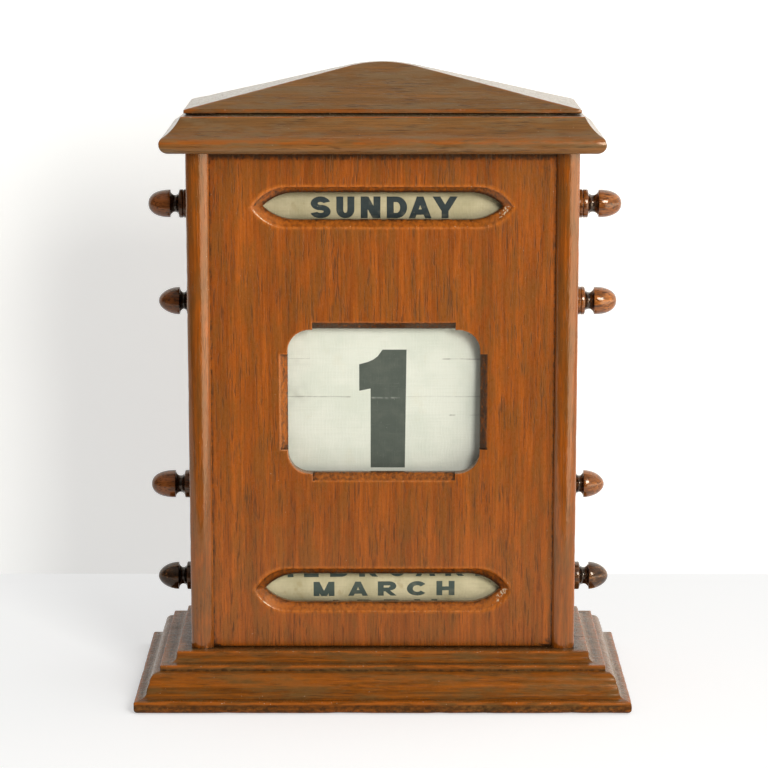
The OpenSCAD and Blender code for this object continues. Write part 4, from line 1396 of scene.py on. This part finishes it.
def knob_outline(collar, neck, cap, fullness):
    """A knob from its tenon outwards, as (x, radius, wear, grime). A fuller cap is
    blunter."""
    x, r = COLLAR_X, COLLAR_R
    neck_x = x + collar
    cap_x = neck_x + neck
    outline = [
        (TENON_X, 0.0, 0, 1), (TENON_X, TENON_R, 0, 1), (x - 6, TENON_R, 0, 1), (x, TENON_R, 0, 1),
        (x, r - 0.5, 0, 1), (x + 0.15, r - 0.15, 0.3, 0.6), (x + 0.5, r, 0.2, 0.5),
    ]
    if collar > GROOVED_OVER:
        groove = x + 0.55 * collar
        outline += [(groove - 0.35, r, 0.4, 0.4), (groove, r - 0.3, 0, 1), (groove + 0.35, r, 0.4, 0.4)]
    outline += [(neck_x - 0.4, r, 0.3, 0.5), (neck_x - 0.12, r - 0.1, 0.5, 0.5)]
    for i in range(25):
        turn = math.pi * i / 24
        edge, dip = (r - 0.3 if i < 12 else CAP_R - 0.06), math.sin(turn)
        along = neck_x + neck * (1 - math.cos(turn)) / 2
        outline.append((along, edge + (NECK_R - edge) * dip, 0.0, min(1.0, 0.25 + 1.3 * dip)))
    for i in range(1, 25):
        u = math.sin(math.radians(3.75 * i))
        rim = max(0.0, 1 - u / 0.12)
        round_here = CAP_R * max(0.0, 1 - u**fullness) ** (1 / fullness)
        outline.append((cap_x + cap * u, round_here, 0.35 * rim, 0.2 * rim))
    return outline


def turned(name, outline, y, z, side):
    """A turned piece from its outline of (x, radius, wear, grime)."""
    shell = Shell()
    shell.stack([
        shell.ring([(side * x, *p) for p in circle(y, z, r, 64)], wear, grime_and_shade)
        for x, r, wear, grime_and_shade in outline
    ])
    return shell.mesh(name, 40)


class Knobs(bpy.types.Operator):
    """Turn the eight knobs, each with a collar, a neck and a domed cap"""

    bl_idname = "desk_calendar.knobs"
    bl_label = "Knobs"

    def execute(self, context):
        red, dark = tone_of("knob"), tone_of("dark_knob")

        # The tones of each wood's grain, its seed and its shine
        woods = {
            # The left knobs' wood is a darker copy of the right knobs': partly their own tone, partly painted
            # shade on the side away from the light. The right month knob's wood is lighter than the left
            # one's in the same way.
            "right": ((darker(red, 0.55), red, mixed(red, srgb(214, 132, 60), 0.6)), 3.0, 1.0),
            "left": ((darker(dark, 0.5), dark, mixed(dark, srgb(150, 84, 44), 0.5)), 8.0, 0.7),
            "black": ((srgb(20, 12, 6), srgb(48, 28, 12), srgb(124, 80, 42)), 12.0, 0.55),
            "worn": ((srgb(34, 20, 12), srgb(76, 48, 28), srgb(160, 110, 66)), 12.0, 0.9),
        }
        for at, (spindle, (y, z)) in enumerate(AXES.items()):
            for side, sign, lengths in zip(("left", "right"), (-1, 1), KNOBS[spindle]):
                pointed = spindle == "month" or lengths[0] < POINTED_UNDER
                outline = knob_outline(*lengths, 1.9 if pointed else 2.3)
                piece = turned(f"{spindle}_{side}_turned_knob", outline, y, z, sign)
                roughen(piece, 0.035, 7, 0.12, 3.0 * at + sign)
                kind = {"left": "black", "right": "worn"}[side] if spindle == "month" else side
                wood = shared(kind + "_knob_wood", knob_wood, *woods[kind])
                slot = "knob_dark" if side == "left" else "knob_brown"
                dress(piece, spindle, slot, wood, f"{spindle}_knob_{side}")
        return {"FINISHED"}


DAYS = ["SUNDAY", "MONDAY", "TUESDAY", "WEDNESDAY", "THURSDAY", "FRIDAY", "SATURDAY"]
MONTHS = ["JANUARY", "FEBRUARY", "MARCH", "APRIL", "MAY", "JUNE", "JULY", "AUGUST", "SEPTEMBER", "OCTOBER",
          "NOVEMBER", "DECEMBER"]

# How far two words sit to the right of the others
SHIFTS = {"FEBRUARY": 1.1, "MARCH": -0.8}

# Each drum's print: stems, bars and stretch of its letters, the gap between them, the
# middle of its words, the turn of the first one above the front, the words' slope, how
# far those round the front one are spread, the seam's turn and the tone of worn ink
PRINTS = {
    "day": dict(words=DAYS, strokes=(3.0, 2.4, 0.95), gap=2.7, middle=0.57, first=0.9, slope=0.0,
                spread=0.0, seam=180.0, worn=(96, 102, 94)),
    "month": dict(words=MONTHS, strokes=(2.6, 1.85, 1.19), gap=5.0, middle=1.4, first=52.7, slope=0.008,
                  spread=4.6, seam=187.0, worn=(112, 116, 98)),
}
FRONT_MONTH = 2
WIDEST_WORD = 98.0

# Degrees from one end of a label to the other, and from its far end to the seam
WRAP, TO_SEAM = 359.2, 359.6

# How far the middle of the cloth's face lies below the radius over the labels
SUNK = 0.05


def on_drum(x, turn, r, y, z):
    """A point `turn` degrees above the front of a drum."""
    a = math.radians(turn)
    return x, y - r * math.cos(a), z + r * math.sin(a)


def label_lift(x, turn):
    """How far a drum's cloth is raised or sunk at a point."""
    return 0.03 * ripple(x, turn / 3, 0, 12, 7.0)


def folded_sheet(name, columns, rows, front, back, grime_and_shade):
    """A sheet of cloth with two faces and four edges. front and back place a point
    (column, row), and grime says how dark it is."""
    shell = Shell()
    faces = []
    for place in (front, back):
        grid = []
        for row in rows:
            soiled_and_shaded = [grime_and_shade(column, row) for column in columns]
            grid.append(shell.ring([place(column, row) for column in columns], 0.0, soiled_and_shaded))
        shell.stack(grid, closed=False)
        faces.append(grid)
    outer, inner = faces
    for end in (0, -1):
        shell.band(outer[end], inner[end], closed=False)
    for edge in (0, -1):
        shell.band([r[edge] for r in outer], [r[edge] for r in inner], closed=False)
    return shell.mesh(name, 50)


def wrapped_label(drum, seam, s):
    """The cloth round a drum, a little frayed at its sides."""
    (y, z), r, half = AXES[drum], s["drum_r"], s["label_w"] / 2
    columns = [-half + s["label_w"] * i / 80 for i in range(81)]
    rows = [seam - TO_SEAM + WRAP * i / 120 for i in range(121)]

    def place(depth):
        def at(x, turn):
            fray = 0.25 * ripple(turn, 0, 0, 4, 7.0) * (abs(x) > half - 0.1)
            return on_drum(x + fray, turn, r - SUNK - depth + label_lift(x, turn), y, z)

        return at

    def soil_and_shade(x, turn):
        # The weekday label is darker all over, and more so towards its left end: painted shade on the side
        # away from the light.
        darkened_and_shaded = 0.27 - 0.12 * x / half if drum == "day" else 0.0
        return max(0.0, darkened_and_shaded + 0.5 * math.exp(-(half - abs(x)) / 3) + 0.06 * ripple(x, turn, 3, 20))

    return folded_sheet(drum + "_cloth", columns, rows, place(0.0), place(s["label_t"] - 0.06), soil_and_shade)


def printed_words(drum, style, s):
    """All words of a drum in one piece, the first where `style` says."""
    (y, z), r = AXES[drum], s["drum_r"]
    letters = Letters(s[drum + "_letter"], *style["strokes"])
    pitch = 360 / len(style["words"])
    shell = Shell()
    for k, word in enumerate(style["words"]):
        points, faces = letters.word(word, style["gap"], WIDEST_WORD)
        first = len(shell.points)
        spread = style["spread"] * math.sin(math.radians((FRONT_MONTH - k) * pitch))
        middle_turn = style["first"] - k * pitch + spread
        shift = style["middle"] + SHIFTS.get(word, 0.0)
        places = []
        for x, up in points:
            turn = middle_turn + math.degrees((up - letters.height / 2 + style["slope"] * x) / r)
            lift = s["ink_rise"] + label_lift(x + shift, turn)
            places.append(on_drum(x + shift, turn, r - SUNK + lift, y, z))
        rubbed_and_lit = [max(0.0, 0.9 * ripple(x, up + 40 * k, 0, 2.5, 4.0) - 0.3) for x, up in points]
        shell.ring(places, rubbed_and_lit, 0.0)
        shell.faces += [tuple(first + i for i in face) for face in faces]
    return shell.mesh(drum + "_words", None, 0.0001)


class DrumLabels(bpy.types.Operator):
    """Wrap the weekday and month drums in cloth and print their words on it"""

    bl_idname = "desk_calendar.labels"
    bl_label = "Weekday and month drums"

    def execute(self, context):
        s = in_mm("cloth")
        for drum, style in PRINTS.items():
            cover = wrapped_label(drum, style["seam"], s)
            dress(cover, drum, "drum_cloth", cloth_of("drum_cloth"), drum + "_label")
            words = printed_words(drum, style, s)
            tones = tone_of(drum + "_ink"), srgb(*style["worn"]), tone_of("drum_cloth")
            dress(words, drum, "drum_cloth", shared(drum + "_ink", ink, *tones, 17.0))
        return {"FINISHED"}


# Cracks across the scroll's print, as (height, from x, to x, how dark)
CRACKS = [
    (149.95, 26.4, 29.4, 1.0), (149.95, 29.2, 34.8, 0.4), (149.95, 34.4, 44, 1.0), (133.2, -43, -15.2, 0.7),
    (133.2, -15.6, -14.0, 1.2), (133.2, 9.7, 31.3, 0.25), (133.2, 31.3, 44, 0.6), (124.9, 29.3, 31.3, 1.0),
    (124.9, 37.8, 44, 0.35), (150.3, -43, -32, 0.3),
]
CRACK_HEIGHTS = (149.95, 133.2, 124.9)

# Length of the scroll, and radius of the roller that has nearly all of it unwound
SCROLL_L, EMPTY_R = 2000, 11.3


def crack(x, z):
    """How dark the scroll's cracks are at a point."""
    found = 0.0
    for height, start, end, dark in CRACKS:
        off = z - height - 0.25 * ripple(x, 0, 0, 9, height)
        if start < x < end:
            found = max(found, dark * math.exp(-((off / 0.16) ** 2)) * (0.75 + 0.5 * ripple(x, 0, 0, 1.5, 3)))
    return found


class Stretch:
    """The scroll between its rolls: a plane that touches both at the front."""

    def __init__(self, s):
        self.low, high = AXES["date_lower"], AXES["date_upper"]
        self.thick = s["linen_t"]
        self.near = 11.6  # from the lower spindle to the middle of the linen
        self.full = math.sqrt(s["core_r"] ** 2 + SCROLL_L * s["linen_t"] / math.pi)
        rise = high[1] - self.low[1]
        self.lean = math.asin((self.full - EMPTY_R) / rise)
        self.long = rise * math.cos(self.lean)

    def at(self, x, z, out=0.0):
        """The point of its front face, or `out` mm before it, that has this height."""
        sin, cos = math.sin(self.lean), math.cos(self.lean)
        s = (z - self.low[1] + self.near * sin) / cos
        calm = max(0.0, math.sin(math.pi * min(max(s / self.long, 0), 1)))
        wave = calm * (0.16 * ripple(x, 0, z, 26, 6) + 0.05 * ripple(x / 3, 0, z, 6, 2))
        far = self.near + self.thick / 2 + wave + out
        return x, self.low[0] - far * cos - s * sin, z - (far - self.near) * sin


def scroll_stretch(stretch, s):
    """The linen between the rolls, with its cracks and stains, and painted shade by the window's edges."""
    half = s["linen_w"] / 2
    bottom = stretch.low[1] - stretch.near * math.sin(stretch.lean)
    top = bottom + stretch.long * math.cos(stretch.lean)
    rows = {bottom + (top - bottom) * i / 70 for i in range(71)}
    rows |= {height + off for height in CRACK_HEIGHTS for off in (-0.6, -0.4, -0.2, 0, 0.2, 0.4, 0.6)}
    columns = [-half + s["linen_w"] * i / 130 for i in range(131)]

    def face(out):
        return lambda x, z: stretch.at(x, z, out)

    def soil_and_shade(x, z):
        # Painted shade darkens the linen towards the window's sides and its lower edge; the stains and the
        # cracks are its own.
        edge = 0.12 * math.exp(-max(0, 41.6 - abs(x)) / 5) + 0.18 * math.exp(-max(0, z - 101.2) / 4)
        stain = 0.2 * max(0.0, 1 - math.dist((x, z), (-37.5, 134)) / 8)
        stain += 0.12 * max(0.0, 1 - math.dist((x, z), (-36, 149)) / 8)
        return min(1.0, crack(x, z) + 0.5 * edge + stain * (0.6 + ripple(x, 0, z, 3)))

    return folded_sheet("scroll_stretch", columns, sorted(rows), face(0.0), face(-s["linen_t"]), soil_and_shade)


def wound_roll(spindle, outer_r, way, lean, s):
    """The linen wound on a roller, from its outer end at the stretch inwards."""
    (y, z), half = AXES[spindle], s["linen_w"] / 2
    turns = (outer_r - s["core_r"]) / s["linen_t"]
    count = round(turns * 48)
    shell, rings = Shell(), []
    for i in range(count + 1):
        wound = turns * i / count
        lift = 0.42 * max(0.0, 1 - wound * 360 / 15)
        r = outer_r - s["linen_t"] * (wound + 0.5) + lift if i < count else s["core_r"] + 0.02
        turn = -math.degrees(lean) + way * 360 * wound
        rings.append(shell.ring([on_drum(x, turn, r, y, z) for x in (-half, -half / 2, 0, half / 2, half)]))
    shell.stack(rings, closed=False)
    return shell.mesh(spindle + "_wound_linen", None)


def number_one(stretch, s):
    """The number 1 on the stretch, rubbed along a seam across its stem."""
    flag = [(-0.1, 154.2), (-0.9, 153.0), (-2.2, 151.2), (-4.1, 149.75), (-6.4, 148.7), (-10.2, 147.65)]
    loop = [(9.7, 101.2), (10.36, 154.2), *flag, (-10.2, 135.8), (-5.27, 136.8), (-5.27, 101.2)]
    outline = []
    for a, b in zip(loop, loop[1:] + loop[:1]):
        cuts = max(1, round(math.dist(a, b) / 0.8))
        outline += [mixed(a, b, i / cuts) for i in range(cuts)]

    def rub(x, z):
        seam = math.exp(-(((z - 132.6 - 0.3 * ripple(x, 0, 0, 6)) / 0.25) ** 2)) * (-4.8 < x < 7.6)
        return min(1.0, seam * max(0.0, 0.6 + 1.2 * ripple(x, 0, 0, 1.6))), 0.0

    shell = Shell()
    edge = shell.ring([(x, 0.0, z) for x, z in outline], [rub(x, z)[0] * 0.5 for x, z in outline])
    shell.fill(edge, flat=(0, 2), step=0.5, shade=rub)
    shell.points = [stretch.at(x, z, s["ink_rise"] + 0.01) for x, _, z in shell.points]
    return shell.mesh("number_one", None, 0.0001)


class Scroll(bpy.types.Operator):
    """Make the linen scroll: its two rolls, the stretch between them and its number"""

    bl_idname = "desk_calendar.scroll"
    bl_label = "Number scroll"

    def execute(self, context):
        s = in_mm("cloth")
        linen = cloth_of("scroll_linen")
        stretch = Stretch(s)
        piece = scroll_stretch(stretch, s)
        dress(piece, "case", "scroll_linen", linen, "date_linen")
        for spindle, outer_r, way in (("date_upper", stretch.full, 1), ("date_lower", EMPTY_R, -1)):
            roll = wound_roll(spindle, outer_r, way, stretch.lean, s)
            dress(roll, spindle, "scroll_linen", linen, spindle + "_roll")
        tones = tone_of("number_ink"), srgb(138, 142, 130), tone_of("linen")
        dress(number_one(stretch, s), "case", "scroll_linen", shared("number_ink", ink, *tones, 25.0))
        return {"FINISHED"}


# --- stage -------------------------------------------------------------------------

# Tones of the floor and the wall, and how much plain white the camera sees in them
FLOOR_TONE, FLOOR_OWN = (226, 227, 227), 0.43
WALL_TONE, WALL_OWN = (240, 241, 238), 0.44

# Level of the floor under the case, its near end, and half the width of floor and wall
FLOOR_Z, FLOOR_NEAR, HALF_STAGE = -0.2, -330.0, 1500.0


def stage_surface(name, start, end, finish):
    """A flat white surface from one line to another, seen from the front and above."""
    shell = Shell()
    rings = []
    for i in range(5):
        here = mixed(start, end, i / 4)
        rings.append(shell.ring([(x, *here) for x in (-HALF_STAGE, 0.0, HALF_STAGE)]))
    shell.stack(rings, closed=False)
    piece = shell.mesh("stage_" + name, None)
    if piece.data.polygons[0].normal.dot(Vector((0, -1, 1))) < 0:
        piece.data.flip_normals()
    piece.data.materials.append(finish)
    return piece


def room_light(world, s):
    """Light all round, brighter on the right and above, with a bright table edge low on
    the right. The camera sees white instead."""
    world.use_nodes = True
    room = Nodes(world.node_tree)
    way = room.node("SeparateXYZ", Vector=room.node("TexCoord").outputs["Generated"]).outputs
    right, above = room.step(way["X"], 0.3, 0.62, 0.0, s.right), room.step(way["Z"], 0.3, 0.9, 0.0, s.above)
    strength = room.plus(room.plus(right, above), s.dim)
    around = room.node("Background", Color=(1.0, 1.0, 0.99), Strength=strength)
    strip = room.times(room.step(way["X"], 0.26, 0.34, 0.0, s.band), room.step(way["Z"], 0.2, 0.0))
    table = room.node("Background", Color=(1.0, 0.9, 0.76), Strength=strip)
    white = room.node("Background", Color=(1.0, 1.0, 1.0))
    seen = room.node("LightPath").outputs["Is Camera Ray"]
    room.end("OutputWorld", room.join("MixShader", room.join("AddShader", around, table), white, Fac=seen))


class Stage(bpy.types.Operator):
    """Set up the floor and wall, the lamps, the world and the camera"""

    bl_idname = "desk_calendar.stage"
    bl_label = "Stage"

    def execute(self, context):
        s = settings("stage")
        scene = context.scene
        wall_y = s.wall / MM
        corner = (wall_y, FLOOR_Z)
        floor_white = stage_white("white_floor", srgb(*FLOOR_TONE), FLOOR_OWN)
        stage_surface("floor", (FLOOR_NEAR, FLOOR_Z), (wall_y + 1.0, FLOOR_Z), floor_white)
        wall_white = stage_white("white_wall", srgb(*WALL_TONE), WALL_OWN)
        wall = stage_surface("wall", corner, (wall_y, 900.0), wall_white)
        wall.visible_shadow = wall.visible_diffuse = False

        scene.world = scene.world or bpy.data.worlds.new("Room")
        room_light(scene.world, s)

        lamp = bpy.data.lights.new("window_light", "AREA")
        lamp.shape, lamp.size, lamp.size_y = "RECTANGLE", s.key_w, s.key_h
        lamp.energy, lamp.color = s.key_power, (1.0, 0.99, 0.965)
        key = bpy.data.objects.new("window_light", lamp)
        key.location = (0.5, -1.18, 0.7)
        key.rotation_euler = (Vector((0, 0, 0.13)) - key.location).to_track_quat("-Z", "Y").to_euler()
        scene.collection.objects.link(key)

        view = bpy.data.cameras.new("camera")
        view.sensor_width, view.lens, view.clip_start = 36.0, 132.777, 0.05
        camera = bpy.data.objects.new("camera", view)
        camera.location = (0.00057, -1.23191, 0.37222)
        camera.rotation_euler = (math.radians(79.088), 0.0, 0.0)
        scene.collection.objects.link(camera)
        scene.camera = camera
        scene.view_settings.view_transform = "Standard"
        return {"FINISHED"}


OPERATORS = [
    BaseBoard, CorniceBoard, RoofBlock, SideBoards, FrontPanel, BackPanel, Hardware, Knobs, DrumLabels,
    Scroll, Stage,
]


class CALENDAR_PT_sidebar(bpy.types.Panel):
    """Pieces and settings of the desk calendar"""

    bl_idname = "CALENDAR_PT_sidebar"
    bl_label = "Desk calendar"
    bl_space_type = "VIEW_3D"
    bl_region_type = "UI"
    bl_category = "Calendar"

    def draw(self, context):
        for name, group in GROUPS.items():
            box = self.layout.box()
            box.label(text=group.__doc__)
            for key in group.__annotations__:
                box.prop(getattr(context.scene, name), key)
        for operator in OPERATORS:
            self.layout.operator(operator.bl_idname)


CLASSES = [*GROUPS.values(), *OPERATORS, CALENDAR_PT_sidebar]


def register():
    for cls in CLASSES:
        bpy.utils.register_class(cls)
    for name, group in GROUPS.items():
        setattr(bpy.types.Scene, name, PointerProperty(type=group))


def unregister():
    for name in GROUPS:
        delattr(bpy.types.Scene, name)
    for cls in reversed(CLASSES):
        bpy.utils.unregister_class(cls)


def main():
    register()
    for operator in OPERATORS:
        family, name = operator.bl_idname.split(".")
        getattr(getattr(bpy.ops, family), name)()


if __name__ == "__main__":
    main()
